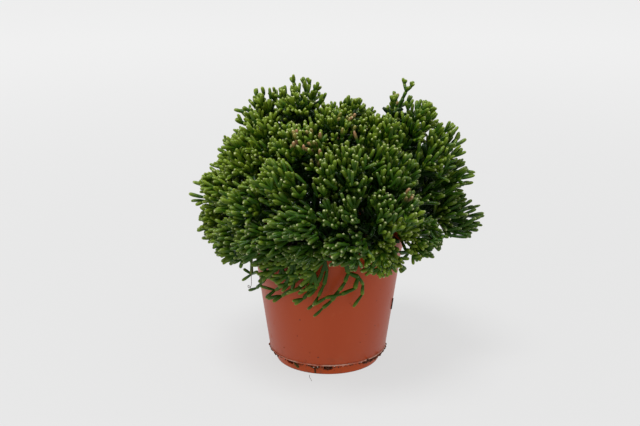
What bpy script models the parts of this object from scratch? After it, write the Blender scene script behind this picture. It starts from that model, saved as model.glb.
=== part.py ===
"""Potted hatiora: a plastic nursery pot, its potting soil and the rooted stems of one bushy plant.

The frame is the pot's: origin at the centre of its underside, +Z up, the side seen in the picture at -Y.
Every stem is grown by rule from its place in the soil to the tips of its own tuft, and is kept here down
to its main limbs.
"""
import math
import random

import bmesh
import bpy
import numpy as np

# Pot, in metres
RIM_RADIUS = 0.060
POT_HEIGHT = 0.104
COLLAR_HEIGHT = 0.011
COLLAR_STEP = 0.0008
WALL_FOOT_RADIUS = 0.046
WALL_FOOT = 0.0092
FOOT_RADIUS = 0.0412
FOOT_DRAFT = 0.0006
WALL = 0.0013
FLOOR = 0.0018
EDGE_ROUND = 0.0006
COLLAR_ROUND = 0.0005
INNER_DRAFT = 0.0004
INNER_ROUND = 0.0015
GROOVE_DEPTH = 0.0008
FOOT_ROUND = 0.0011
TURN_STEPS = 48
WELD = 0.00001
DRAIN_SLOTS = 8
SLOT_WIDTH = 0.0065
SLOT_LOW, SLOT_HIGH = 0.0042, 0.0078

# Potting soil
SOIL_LEVEL = 0.093
SOIL_CROWN = 0.0015
CROWN_SHOULDER, CROWN_SHOULDER_RISE = 0.55, 0.6
SOIL_ROUND = 0.002
FIT_GAP = 0.0003
SOCKET_DEPTH = 0.008
SOCKET_SIDES = 6

# Stems and their places in the soil
STEM_RADIUS = 0.0023
TWIG_RADIUS = 0.0019
TWIG_ROOT_SHARE = 0.68
RANK_SLIMMING = 0.025
STEM_GAP = 0.0006
SOIL_REACH = 0.046
BASE_SPACING = 0.0112
FORK_SPACING = 0.0095
PUSHES = 200
PUSH_SHARE = 0.25
HIGHEST, SPREAD_OVER, SPREAD_POWER = 90, 95, 0.85
TINY = 0.000001
SEED = 11

# Tips: how many directions are tried, how a tuft's reach falls off to its edge, and how uneven the tips stand
DIRECTIONS = 4300
WAY_JITTER = 0.010
TUFT_EDGE = 1.15
DENT = 0.17
REACH_SPARE = 1.05
TIP_UNEVENNESS = 0.03
DEEP_TIPS = 0.28
DEEP_FROM, DEEP_TO = 0.06, 0.20
OVER_RIM_KEPT, PAST_RIM_KEPT = 0.008, 0.011

# Bare foot of a stem, from the soil up to its first fork
FOOT_RISE = 0.003
FOOT_PULL, FORK_PULL = 0.36, 0.34
FORK_LIFT = 0.3
FORK_SHARE, EARLY_FORK_SHARE = 0.44, 0.36
EARLY_FAN = 2.2
LOW_FORK_UNDER = 0.012
LOW_FORK_BAND = 0.020
LOW_FORK_RADIUS, LOW_FORK_SWING = 0.046, 0.016
LOW_FORK_RISE = 0.0115

# Branching: lengths of the segments, how the tips are shared out at a fork, and how a chain turns
INNER_STEP = 0.0155
OUTER_STEP = 0.0125
LAST_STEP = 0.0185
WHORL_REACH = 0.0265
CROWN_SIZE = 0.62
CROWN_FROM, CROWN_FULL = 46, 74
MANY_TIPS = 12
THREE_WAY_TIPS = 4
THREE_WAY_CHANCE = 0.5
GATHER_ROUNDS = 8
TURN_SHARE = 0.55
BEND_SHARE = 0.5
SWAY = 0.05
WALL_CLEARANCE = 0.0045
RIM_BAND = 0.008

# Main limbs that are kept of each stem
LIMB_SLACK = 0.0019
LEAST_RUN = 0.007
LEAST_LOAD = 6
TRAILING_LOAD = 2
LIMBS_PER_STEM = 6
LEAST_MAIN_JOINTS, LEAST_SIDE_JOINTS = 4, 2

UP = np.array((0.0, 0.0, 1.0))

# Points that the tufts fan out from: the middle of the cushion, just inside the rim at the front, and right of
# the middle
HEART = np.array((0.0, 0.0, 0.100))
FRONT = np.array((0.010, -0.050, 0.109))
RIGHT = np.array((0.026, -0.006, 0.103))

# Tufts: name, azimuth and elevation of the tuft's middle in degrees, reach in mm, half width in degrees,
# how early its stem forks, and the point that it fans out from
TUFTS = (
    ("top_left", -172, 78, 121, 14, 1.8, HEART),
    ("far_top_left", 169, 64, 122, 15, 1.8, HEART),
    ("upper_left", -150, 58, 113, 14, 1.8, HEART),
    ("left_shoulder", -166, 43, 110, 14, 1.8, HEART),
    ("left_mid", -168, 25, 108, 15, 1.8, HEART),
    ("left_low", -172, 8, 100, 15, 1.9, HEART),
    ("left_bottom", -152, 5, 95, 15, 1.9, FRONT),
    ("centre_left_high", -112, 56, 112, 15, 1.8, HEART),
    ("centre_top", -82, 72, 108, 14, 1.8, HEART),
    ("centre_high", -82, 42, 113, 16, 2.0, HEART),
    ("centre_left", -118, 38, 112, 14, 1.8, FRONT),
    ("mid_left", -138, 25, 109, 14, 2.0, FRONT),
    ("low_left", -130, 11, 101, 14, 2.3, FRONT),
    ("centre_low", -107, 21, 109, 15, 2.1, FRONT),
    ("centre_mid", -82, 24, 108, 13, 2.0, HEART),
    ("centre_right", -59, 23, 113, 15, 1.8, HEART),
    ("centre_low_right", -80, 11, 104, 14, 2.0, HEART),
    ("right_top", -38, 60, 112, 14, 1.9, HEART),
    ("right_high", -52, 41, 113, 14, 2.0, HEART),
    ("right_crest", 2, 55, 125.5, 15, 2.0, RIGHT),
    ("right_shoulder", -4, 41, 127, 15, 2.3, RIGHT),
    ("right_mid", -4, 28, 117, 13, 2.8, RIGHT),
    ("right_sweep", -1, 6, 113.5, 15, 3.0, RIGHT),
    ("right_low", -32, 4, 90, 17, 1.8, HEART),
    ("rim_right", -59, 1, 91, 14, 1.8, HEART),
    ("rim_front", -103, 6, 93, 13, 2.2, FRONT),
    ("peak", 10, 63.5, 134, 5.5, 1.8, RIGHT),
    ("crest", -25, 80, 110, 13, 1.8, HEART),
)
# Tufts of the far side, in rows: name, elevation in degrees, how many, reach in mm
BACK_ROWS = (("back_top", 66, 2, 108), ("back_high", 42, 4, 112), ("back_mid", 19, 5, 110), ("back_low", 0, 4, 98))
BACK_FROM, BACK_TO = 18, 172
BACK_WIDTH, BACK_FAN = 17, 1.8
BACK_RIPPLE = 4

# Lowest height of the tips in mm, by azimuth in degrees
SKIRT = (
    (-180, 82), (-166, 82), (-150, 87), (-138, 97), (-110, 105), (-82, 105), (-72, 97), (-64, 89), (-54, 91),
    (-42, 93), (-24, 94), (-14, 96), (-6, 99), (6, 99), (20, 94), (90, 84), (180, 84))

# Stems that hang over the rim, as rows of (parent row, azimuth in degrees, height and stand-off from the
# pot's wall in mm)
TRAILING = {
    "trailing_fork": (
        (-1, -81, 111, 3), (0, -80, 101, 6), (1, -77, 90, 6), (2, -79, 83, 6), (3, -83, 76, 6), (4, -88, 68, 6),
        (5, -94, 62, 6), (6, -101, 54, 5), (2, -70, 86, 6), (8, -66, 79, 6), (9, -66, 71, 6), (10, -72, 61, 5),
        (8, -73, 78, 9), (12, -82, 75, 11), (13, -92, 72, 10), (14, -100, 65, 7), (15, -105, 60, 6)),
    "trailing_side": (
        (-1, -152, 112, 4), (0, -149, 100, 9), (1, -150, 88, 9), (2, -153, 77.5, 9), (3, -155, 82, 14),
        (3, -159.5, 70.5, 15), (3, -143, 83, 9), (1, -141, 90, 6), (7, -137, 81, 6), (8, -144, 73, 6),
        (9, -150, 67, 8), (10, -157, 63, 12)),
}
# Trailing tufts: azimuths of the stem, of its fork and of the first and last tip, lowest and highest tip
# in mm, and the number of tips
TRAILING_TUFTS = {
    "trailing_left_inner": (-86, -92, -97, -121, 60, 100, 17),
    "trailing_left_outer": (-106, -112, -118, -146, 58, 92, 20),
    "trailing_right": (-54, -54, -44, -64, 76, 92, 12),
}
# Where a trailing tuft passes the rim, and how its tips lie along the wall
TRAILING_FAN = 2.6
OVER_RIM, OVER_RIM_OFF = 111.5, 3
OVER_RIM_TURN = 0.6
OVER_RIM_DIP = -17
UNDER_RIM, UNDER_RIM_OFF = 102, 8
RISE_STRIDE, RISE_START = 0.618, 0.3
LOWEST_OFF, HIGHEST_OFF = 5, 9
AZIMUTH_JITTER = 2

# Colours: base colour, roughness
TERRACOTTA = ((0.27, 0.050, 0.022), 0.38)
PEAT = ((0.030, 0.018, 0.010), 0.95)
GREEN = ((0.055, 0.115, 0.018), 0.42)


def unit(vector):
    """The vector at length one."""
    return vector / np.linalg.norm(vector)


def compass(azimuth, elevation=0.0):
    """Unit direction from an azimuth and an elevation in degrees."""
    turn, rise = math.radians(azimuth), math.radians(elevation)
    return np.array((math.cos(rise) * math.cos(turn), math.cos(rise) * math.sin(turn), math.sin(rise)))


def wall_radius(height):
    """Outer radius of the pot's wall at a height."""
    share = (min(max(height, WALL_FOOT), POT_HEIGHT) - WALL_FOOT) / (POT_HEIGHT - WALL_FOOT)
    return WALL_FOOT_RADIUS + share * (RIM_RADIUS - WALL_FOOT_RADIUS)


def by_wall(azimuth, height_mm, off_mm):
    """Point outside the pot's wall, from its azimuth, height and stand-off."""
    height = height_mm / 1000
    point = compass(azimuth) * (wall_radius(height) + off_mm / 1000)
    point[2] = height
    return point


def keep_off_pot(point):
    """Moves a point that hangs outside the pot out to where the stem clears the wall."""
    radius = math.hypot(point[0], point[1])
    wall = wall_radius(point[2]) + WALL_CLEARANCE
    if point[2] < POT_HEIGHT + WALL_CLEARANCE and RIM_RADIUS - RIM_BAND < radius < wall:
        point = point * np.array((wall / radius, wall / radius, 1.0))
    return point


def all_tufts():
    """The tufts of the near side and the rows of the far side."""
    tufts = list(TUFTS)
    for name, elevation, count, reach in BACK_ROWS:
        for i in range(count):
            azimuth = BACK_FROM + (i + 0.5) * (BACK_TO - BACK_FROM) / count
            ripple = BACK_RIPPLE * math.sin(2.4 * len(tufts))
            tufts.append((f"{name}_{i + 1}", azimuth, elevation, reach + ripple, BACK_WIDTH, BACK_FAN, HEART))
    return tufts


def tuft_tips(tufts, rng):
    """Spreads the tips evenly over the cushion and gives each to the tuft that it lies in."""
    axes = np.array([compass(tuft[1], tuft[2]) for tuft in tufts])
    widths = np.radians([tuft[4] for tuft in tufts])
    skirt_azimuths, skirt_heights = zip(*SKIRT)
    groups = [[] for _ in tufts]
    golden = math.pi * (3 - math.sqrt(5))
    for i in range(DIRECTIONS):
        rise = 1 - 2 * (i + 0.5) / DIRECTIONS
        flat = math.sqrt(1 - rise * rise)
        jitter = np.array([rng.gauss(0, WAY_JITTER) for _ in range(3)])
        way = unit(np.array((flat * math.cos(golden * i), flat * math.sin(golden * i), rise)) + jitter)
        away = np.arccos(np.clip(axes @ way, -1, 1)) / widths
        k = int(away.argmin())
        is_deep = rng.random() < DEEP_TIPS
        depth = rng.uniform(DEEP_FROM, DEEP_TO) if is_deep else abs(rng.gauss(0, TIP_UNEVENNESS))
        if away[k] > TUFT_EDGE:
            continue
        reach = tufts[k][3] / 1000 * (1 - DENT * min(away[k], 1) ** 2) * (REACH_SPARE - depth)
        tip = HEART + way * reach
        skirt = np.interp(math.degrees(math.atan2(way[1], way[0])), skirt_azimuths, skirt_heights) / 1000
        in_pot = tip[2] < POT_HEIGHT + OVER_RIM_KEPT and math.hypot(tip[0], tip[1]) < RIM_RADIUS + PAST_RIM_KEPT
        if tip[2] > skirt and not in_pot:
            groups[k].append(tip)
    return [np.array(group) for group in groups]


def trailing_tips(row, rng):
    """Tips of a trailing tuft, spread over a patch of the pot's wall."""
    _, _, start, end, low, high, count = row
    tips = []
    for i in range(count):
        rise = (i * RISE_STRIDE + RISE_START) % 1
        azimuth = start + (end - start) * (i + 0.5) / count + rng.uniform(-AZIMUTH_JITTER, AZIMUTH_JITTER)
        off = LOWEST_OFF + HIGHEST_OFF * rng.random() * rise
        tips.append(by_wall(azimuth, low + (high - low) * rise, off))
    return np.array(tips)


def pushed_apart(spots, spacing):
    """The spots, each moved away from those that lie nearer than the spacing."""
    between = spots[:, None] - spots[None]
    distance = np.linalg.norm(between, axis=2)
    near = (distance < spacing) & (distance > 0)
    push = np.where(near, (spacing - distance) * PUSH_SHARE / np.maximum(distance, TINY), 0)
    return spots + (between * push[..., None]).sum(1)


def stem_bases(azimuths, shares):
    """Places of the stems in the soil, pushed apart until each has room."""
    spots = np.array([compass(a)[:2] * s * SOIL_REACH for a, s in zip(azimuths, shares)])
    for _ in range(PUSHES):
        spots = pushed_apart(spots, BASE_SPACING)
        spots *= np.minimum(1, SOIL_REACH / np.maximum(np.linalg.norm(spots, axis=1), TINY))[:, None]
    return spots


def gather(tips, count):
    """Splits tips into groups, each round its own middle."""
    centre = tips.mean(0)
    middles = [tips[np.linalg.norm(tips - centre, axis=1).argmax()]]
    while len(middles) < count:
        away = np.min([np.linalg.norm(tips - middle, axis=1) for middle in middles], axis=0)
        middles.append(tips[away.argmax()])
    middles = np.array(middles)
    for _ in range(GATHER_ROUNDS):
        label = np.linalg.norm(tips[:, None] - middles[None], axis=2).argmin(1)
        middles = np.array([tips[label == i].mean(0) if (label == i).any() else middles[i] for i in range(count)])
    return [tips[label == i] for i in range(count) if (label == i).any()]


class Stem:
    """One rooted stem: its joints, and the joint that each one grew from."""

    def __init__(self, name, spot, least_load=LEAST_LOAD, size=1.0, source=None):
        self.name = name
        self.least_load = least_load
        self.size = size
        self.source = source
        self.points = [np.array((spot[0], spot[1], SOIL_LEVEL - SOCKET_DEPTH + FIT_GAP)),
                       np.array((spot[0], spot[1], SOIL_LEVEL + FOOT_RISE))]
        self.parents = [-1, 0]

    def add(self, point, parent):
        """Adds a joint and returns its number."""
        self.points.append(keep_off_pot(point))
        self.parents.append(parent)
        return len(self.points) - 1

    def climb(self, fork, end_way):
        """Grows the bare foot of the stem from the soil up to its first fork."""
        collar = self.points[1]
        length = np.linalg.norm(fork - collar)
        first = collar + UP * FOOT_PULL * length
        second = fork - unit(end_way + FORK_LIFT * UP) * FORK_PULL * length
        at = 1
        steps = max(1, round(length / INNER_STEP))
        for i in range(1, steps + 1):
            t = i / steps
            u = 1 - t
            at = self.add(u**3 * collar + 3 * u * u * t * first + 3 * u * t * t * second + t**3 * fork, at)
        return at

    def branch(self, at, way, tips, fan, rng):
        """Grows joint by joint towards the tips, forking where they spread too wide for one chain."""
        work = [(at, way, tips)]
        while work:
            at, way, group = work.pop()
            here = self.points[at]
            centre = group.mean(0)
            distance = np.linalg.norm(centre - here)
            if len(group) == 1:
                self.finish(at, way, centre)
                continue
            wide = np.linalg.norm(group - centre, axis=1).max()
            step = (INNER_STEP if len(group) > MANY_TIPS else OUTER_STEP) * self.size
            parts = [group]
            if distance < fan * wide + step:
                is_three_way = len(group) > THREE_WAY_TIPS and rng.random() < THREE_WAY_CHANCE
                parts = gather(group, 3 if is_three_way else 2)
            for part in parts:
                if len(part) == 1:
                    work.append((at, way, part))
                    continue
                ahead = part.mean(0) - here
                away = np.linalg.norm(ahead)
                if away < WHORL_REACH * self.size:
                    for tip in part:
                        self.finish(at, way, tip)
                    continue
                sway = np.array([rng.gauss(0, SWAY) for _ in range(3)])
                turn = unit((1 - TURN_SHARE) * way + TURN_SHARE * ahead / away + sway)
                joint = self.add(here + turn * min(step, away - LAST_STEP * self.size), at)
                work.append((joint, turn, part))

    def finish(self, at, way, tip):
        """Grows the last chain of segments, which turns outwards on its way to the tip."""
        here = self.points[at]
        distance = np.linalg.norm(tip - here)
        outwards = way if self.source is None else unit(tip - self.source)
        bend = tip - outwards * distance * BEND_SHARE
        steps = max(1, round(distance / (OUTER_STEP * self.size)))
        for i in range(1, steps + 1):
            t = i / steps
            at = self.add((1 - t)**2 * here + 2 * t * (1 - t) * bend + t * t * tip, at)

    def limbs(self):
        """Main limbs, heaviest first: each is a list of joints, and starts on the limb that it grew from."""
        count = len(self.points)
        children = [[] for _ in range(count)]
        for i in range(1, count):
            children[self.parents[i]].append(i)
        load = [0] * count
        for i in range(count - 1, -1, -1):
            load[i] = sum(load[k] for k in children[i]) or 1
        found = []
        work = [[0]]
        while work:
            limb = work.pop()
            weight = load[limb[-1]]
            while children[limb[-1]]:
                branches = sorted(children[limb[-1]], key=lambda k: -load[k])
                work += [[limb[-1], k] for k in branches[1:] if load[k] >= self.least_load]
                limb.append(branches[0])
            found.append((weight, limb))
        found.sort(key=lambda item: (item[1][0] != 0, -item[0]))
        chains = [[self.points[i] for i in limb] for _, limb in found[:LIMBS_PER_STEM]]
        foot = chains[0][:1]
        return [foot + thinned(chains[0][1:])] + [thinned(chain) for chain in chains[1:]]


def thinned(points):
    """Keeps the ends of a chain of points and those that the straight runs between them would miss."""
    start, end = points[0], points[-1]
    way = unit(end - start)
    off = [np.linalg.norm(p - start - way * ((p - start) @ way)) for p in points]
    off = [o if shortest_run(p, start, end) > LEAST_RUN else 0.0 for o, p in zip(off, points)]
    k = int(np.argmax(off))
    if off[k] < LIMB_SLACK:
        return [start, end]
    return thinned(points[:k + 1])[:-1] + thinned(points[k:])


def shortest_run(point, start, end):
    """Length of the shorter of the two runs that a chain gets where it bends at the point."""
    return min(np.linalg.norm(point - start), np.linalg.norm(point - end))


def segment_size(elevation):
    """Length of a tuft's segments beside those of a low tuft: the higher its middle stands, the stubbier."""
    return 1 - (1 - CROWN_SIZE) * min(1.0, max(0.0, (elevation - CROWN_FROM) / (CROWN_FULL - CROWN_FROM)))


def first_fork(source, tips, fan):
    """Place of a stem's first fork: inside the cushion, or up over the pot's rim for a low tuft."""
    fork = source + (tips.mean(0) - source) * (EARLY_FORK_SHARE if fan > EARLY_FAN else FORK_SHARE)
    low = min(1.0, max(0.0, (POT_HEIGHT + LOW_FORK_UNDER - fork[2]) / LOW_FORK_BAND))
    if low > 0:
        flat = unit(fork[:2]) * max(np.linalg.norm(fork[:2]), LOW_FORK_RADIUS + LOW_FORK_SWING * low)
        fork = np.array((flat[0], flat[1], POT_HEIGHT + LOW_FORK_RISE))
    return fork


def bearing(point):
    """Azimuth of a point in degrees."""
    return math.degrees(math.atan2(point[1], point[0]))


def grow():
    """Grows all the stems: those of the tufts, and those that hang over the rim."""
    rng = random.Random(SEED)
    tufts = all_tufts()
    groups = tuft_tips(tufts, rng)
    forks = np.array([first_fork(tuft[6], tips, tuft[5]) for tuft, tips in zip(tufts, groups)])
    for _ in range(PUSHES):
        forks = pushed_apart(forks, FORK_SPACING)
    azimuths = [bearing(fork) for fork in forks]
    azimuths += [route[0][1] for route in TRAILING.values()]
    azimuths += [row[0] for row in TRAILING_TUFTS.values()]
    shares = [min(1.0, max(0.0, (HIGHEST - tuft[2]) / SPREAD_OVER)) ** SPREAD_POWER for tuft in tufts]
    shares += [1.0] * (len(TRAILING) + len(TRAILING_TUFTS))
    spots = iter(stem_bases(azimuths, shares))
    stems = []
    for (name, _, elevation, _, _, fan, source), fork, tips in zip(tufts, forks, groups):
        stem = Stem("stem_" + name, next(spots), size=segment_size(elevation), source=source)
        way = unit(tips.mean(0) - fork)
        stem.branch(stem.climb(fork, way), way, tips, fan, rng)
        stems.append(stem)
    for name, route in TRAILING.items():
        stem = Stem("stem_" + name, next(spots), least_load=1)
        joints = []
        for parent, azimuth, height, off in route:
            point = by_wall(azimuth, height, off)
            is_first = parent < 0
            way = compass(azimuth, OVER_RIM_DIP)
            joints.append(stem.climb(point, way) if is_first else stem.add(point, joints[parent]))
        stems.append(stem)
    for name, row in TRAILING_TUFTS.items():
        stem = Stem("stem_" + name, next(spots), least_load=TRAILING_LOAD)
        tips = trailing_tips(row, rng)
        over = by_wall(row[0], OVER_RIM, OVER_RIM_OFF)
        at = stem.climb(over, unit(compass(row[0]) + OVER_RIM_TURN * unit(tips.mean(0) - over)))
        at = stem.add(by_wall(row[1], UNDER_RIM, UNDER_RIM_OFF), at)
        stem.branch(at, unit(tips.mean(0) - stem.points[at]), tips, TRAILING_FAN, rng)
        stems.append(stem)
    return stems


def runs(points):
    """Start and end points of a limb's straight runs."""
    points = np.array(points)
    return points[:-1], points[1:]


def nearest(starts, ends, other_starts, other_ends):
    """Shortest distance between two sets of straight runs."""
    a, b = starts[:, None], other_starts[None]
    u, v = (ends - starts)[:, None], (other_ends - other_starts)[None]
    w = a - b
    uu, uv, vv = (u * u).sum(-1), (u * v).sum(-1), (v * v).sum(-1)
    uw, vw = (u * w).sum(-1), (v * w).sum(-1)
    even = np.maximum(uu * vv - uv * uv, TINY ** 3)
    s = np.clip((uv * vw - vv * uw) / even, 0, 1)
    t = np.clip((uv * s + vw) / vv, 0, 1)
    s = np.clip((uv * t - uw) / uu, 0, 1)
    return np.linalg.norm(w + u * s[..., None] - v * t[..., None], axis=-1).min()


def seated(start, limbs):
    """The point on a stem's limbs that lies nearest to the start of a side limb."""
    best = None
    for limb in limbs:
        for a, b in zip(*runs(limb)):
            share = min(1.0, max(0.0, float((start - a) @ (b - a) / ((b - a) @ (b - a)))))
            point = a + (b - a) * share
            if best is None or np.linalg.norm(point - start) < np.linalg.norm(best - start):
                best = point
    return best


def apart(limb, others):
    """Whether a limb clears all the limbs of the other stems."""
    if not others:
        return True
    starts, ends = runs(limb)
    other_starts = np.concatenate([runs(other)[0] for other in others])
    other_ends = np.concatenate([runs(other)[1] for other in others])
    return nearest(starts, ends, other_starts, other_ends) > 2 * STEM_RADIUS + STEM_GAP


def clear_limbs(stems):
    """Main limbs of each stem that clear the others: a main limb gives up its end, a side limb gives way."""
    wanted = [stem.limbs() for stem in stems]
    kept = [[] for _ in stems]
    turns = [(k, rank) for k, limbs in enumerate(wanted) for rank in range(len(limbs))]
    turns.sort(key=lambda turn: (turn[1] > 0, stems[turn[0]].least_load, turn[1]))
    for k, rank in turns:
        limb = wanted[k][rank]
        if rank:
            seat = seated(limb[0], kept[k])
            if np.linalg.norm(seat - limb[0]) > 2 * STEM_RADIUS:
                continue
            limb = [seat] + limb[1:]
        others = [other for i, group in enumerate(kept) if i != k for other in group]
        while len(limb) > (LEAST_SIDE_JOINTS if rank else LEAST_MAIN_JOINTS) and not apart(limb, others):
            limb = limb[:-1]
        if rank == 0 or apart(limb, others):
            kept[k].append(limb)
    return kept


def material(name, base_color, roughness):
    """Principled material of one part."""
    made = bpy.data.materials.new(name)
    made.use_nodes = True
    shader = made.node_tree.nodes["Principled BSDF"]
    shader.inputs["Base Color"].default_value = (*base_color, 1.0)
    shader.inputs["Roughness"].default_value = roughness
    shader.inputs["Metallic"].default_value = 0.0
    return made


def placed(name, mesh, collection):
    """Object with the mesh, in the collection."""
    made = bpy.data.objects.new(name, mesh)
    collection.objects.link(made)
    return made


def evaluated_mesh(source):
    """Mesh of an object with its modifiers or its bevel done."""
    graph = bpy.context.evaluated_depsgraph_get()
    return bpy.data.meshes.new_from_object(source.evaluated_get(graph), depsgraph=graph)


def turned(name, profile, collection):
    """Solid turned from a profile of (radius, height) points, which runs down its outer side."""
    mesh = bpy.data.meshes.new(name)
    bm = bmesh.new()
    corners = [bm.verts.new((radius, 0.0, height)) for radius, height in profile]
    for first, second in zip(corners, corners[1:]):
        bm.edges.new((first, second))
    bm.to_mesh(mesh)
    bm.free()
    made = placed(name, mesh, collection)
    screw = made.modifiers.new("turn", "SCREW")
    screw.steps = TURN_STEPS
    screw.render_steps = TURN_STEPS
    screw.use_merge_vertices = True
    screw.merge_threshold = WELD
    screw.use_smooth_shade = True
    return made


def cut(target, cutter):
    """Cuts a cutter out of a part."""
    cutter.hide_render = True
    cutter.display_type = "WIRE"
    difference = target.modifiers.new("cut_" + cutter.name, "BOOLEAN")
    difference.operation = "DIFFERENCE"
    difference.solver = "EXACT"
    difference.object = cutter


def joined_primitives(name, makers, collection):
    """One object from a list of functions that each add a primitive to a mesh."""
    mesh = bpy.data.meshes.new(name)
    bm = bmesh.new()
    for make in makers:
        make(bm)
    bm.to_mesh(mesh)
    bm.free()
    return placed(name, mesh, collection)


def box_at(azimuth, radius, low, high, width, depth):
    """Function that adds an upright box, square to an azimuth in degrees."""
    def make(bm):
        corners = bmesh.ops.create_cube(bm, size=1.0)["verts"]
        across, out = compass(azimuth + 90), compass(azimuth)
        for corner in corners:
            x, y, z = corner.co
            place = out * (radius + x * depth) + across * (y * width)
            corner.co = (place[0], place[1], (low + high) / 2 + z * (high - low))
    return make


def socket_at(spot):
    """Function that adds the blind hole that one stem is rooted in."""
    def make(bm):
        radius = (STEM_RADIUS + FIT_GAP) / math.cos(math.pi / SOCKET_SIDES)
        made = bmesh.ops.create_cone(bm, cap_ends=True, segments=SOCKET_SIDES, radius1=radius, radius2=radius,
                                     depth=2 * SOCKET_DEPTH)["verts"]
        bmesh.ops.translate(bm, verts=made, vec=(spot[0], spot[1], SOIL_LEVEL))
    return make


def build_pot(collection, cutters):
    """Thin-walled pot: collar under the rim, tapering wall, stepped-in foot with drain slots."""
    collar_base = POT_HEIGHT - COLLAR_HEIGHT
    under_collar = wall_radius(collar_base) - COLLAR_STEP
    inner_foot = FOOT_RADIUS - WALL - INNER_DRAFT
    inner_ledge = WALL_FOOT_RADIUS - WALL
    profile = [
        (0.0, FLOOR),
        (inner_foot - INNER_ROUND, FLOOR),
        (inner_foot, FLOOR + INNER_ROUND),
        (inner_foot + FOOT_DRAFT, WALL_FOOT),
        (inner_ledge, WALL_FOOT + WALL),
        (under_collar - WALL, collar_base + COLLAR_ROUND),
        (RIM_RADIUS - WALL, POT_HEIGHT - EDGE_ROUND),
        (RIM_RADIUS - WALL / 2, POT_HEIGHT),
        (RIM_RADIUS, POT_HEIGHT - EDGE_ROUND),
        (wall_radius(collar_base), collar_base),
        (under_collar, collar_base - EDGE_ROUND),
        (WALL_FOOT_RADIUS, WALL_FOOT + EDGE_ROUND),
        (WALL_FOOT_RADIUS - EDGE_ROUND, WALL_FOOT - EDGE_ROUND / 2),
        (FOOT_RADIUS + FOOT_DRAFT, WALL_FOOT - GROOVE_DEPTH),
        (FOOT_RADIUS, FOOT_ROUND),
        (FOOT_RADIUS - FOOT_ROUND, 0.0),
        (0.0, 0.0),
    ]
    pot = turned("pot", profile, collection)
    slots = joined_primitives("drain_slot_cutter", [
        box_at(-90 + i * 360 / DRAIN_SLOTS, FOOT_RADIUS, SLOT_LOW, SLOT_HIGH, SLOT_WIDTH, 4 * WALL)
        for i in range(DRAIN_SLOTS)], cutters)
    cut(pot, slots)
    return pot


def build_soil(stems, collection, cutters):
    """Root ball that fills the pot, with a socket for each stem."""
    inner_foot = FOOT_RADIUS - WALL - INNER_DRAFT - FIT_GAP
    inner_ledge = WALL_FOOT_RADIUS - WALL - FIT_GAP
    top_radius = wall_radius(SOIL_LEVEL) - COLLAR_STEP - WALL - 2 * FIT_GAP
    profile = [
        (0.0, SOIL_LEVEL + SOIL_CROWN),
        (top_radius * CROWN_SHOULDER, SOIL_LEVEL + SOIL_CROWN * CROWN_SHOULDER_RISE),
        (top_radius - SOIL_ROUND, SOIL_LEVEL),
        (top_radius, SOIL_LEVEL - SOIL_ROUND),
        (inner_ledge, WALL_FOOT + WALL + 2 * FIT_GAP),
        (inner_foot, WALL_FOOT + FIT_GAP),
        (inner_foot - FOOT_DRAFT, FLOOR + SOIL_ROUND),
        (inner_foot - FOOT_DRAFT - SOIL_ROUND, FLOOR + FIT_GAP),
        (0.0, FLOOR + FIT_GAP),
    ]
    soil = turned("potting_soil", profile, collection)
    sockets = joined_primitives("socket_cutter", [socket_at(stem.points[0]) for stem in stems], cutters)
    cut(soil, sockets)
    return soil


def limb_mesh(points, rank):
    """Tube along a limb: a side limb is narrow where it leaves its parent, and the lighter the slimmer."""
    curve = bpy.data.curves.new("limb", "CURVE")
    curve.dimensions = "3D"
    curve.bevel_depth = 1.0
    curve.bevel_resolution = 0
    curve.use_fill_caps = True
    spline = curve.splines.new("POLY")
    spline.points.add(len(points) - 1)
    for i, (point, place) in enumerate(zip(spline.points, points)):
        share = 1.0 if rank else i / (len(points) - 1)
        radius = STEM_RADIUS + (TWIG_RADIUS - STEM_RADIUS) * share
        point.co = (*place, 1.0)
        point.radius = radius * (TWIG_ROOT_SHARE if rank and i == 0 else 1.0) * (1 - RANK_SLIMMING * rank)
    holder = placed("limb", curve, bpy.context.scene.collection)
    mesh = evaluated_mesh(holder)
    bpy.data.objects.remove(holder)
    bm = bmesh.new()
    bm.from_mesh(mesh)
    bmesh.ops.remove_doubles(bm, verts=bm.verts, dist=WELD)
    bm.to_mesh(mesh)
    bm.free()
    return mesh


def triangulated(mesh):
    """Splits a joined mesh into triangles, so that no diagonal of one face is also a diagonal of another."""
    bm = bmesh.new()
    bm.from_mesh(mesh)
    origin = bm.faces.layers.int.new("origin")
    for number, face in enumerate(bm.faces):
        face[origin] = number
    bmesh.ops.triangulate(bm, faces=bm.faces)
    doubled = [edge for edge in bm.edges if len(edge.link_faces) > 2]
    while doubled:
        edge = doubled.pop()
        first_face = edge.link_faces[0]
        pair = [face for face in edge.link_faces if face[origin] == first_face[origin]]
        middle = bm.verts.new((edge.verts[0].co + edge.verts[1].co) / 2)
        for face in pair:
            split_face(bm, face, edge, middle, origin)
        if len(edge.link_faces) > 2:
            doubled.append(edge)
    bm.to_mesh(mesh)
    bm.free()


def split_face(bm, face, edge, middle, origin):
    """Replaces a triangle by two that meet at a new corner in the middle of one of its edges."""
    corners = list(face.verts)
    third = next(corner for corner in corners if corner not in edge.verts)
    turn = corners.index(third)
    first, second = corners[turn - 2], corners[turn - 1]
    for new_corners in ((first, middle, third), (middle, second, third)):
        bm.faces.new(new_corners)[origin] = face[origin]
    bm.faces.remove(face)


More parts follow.
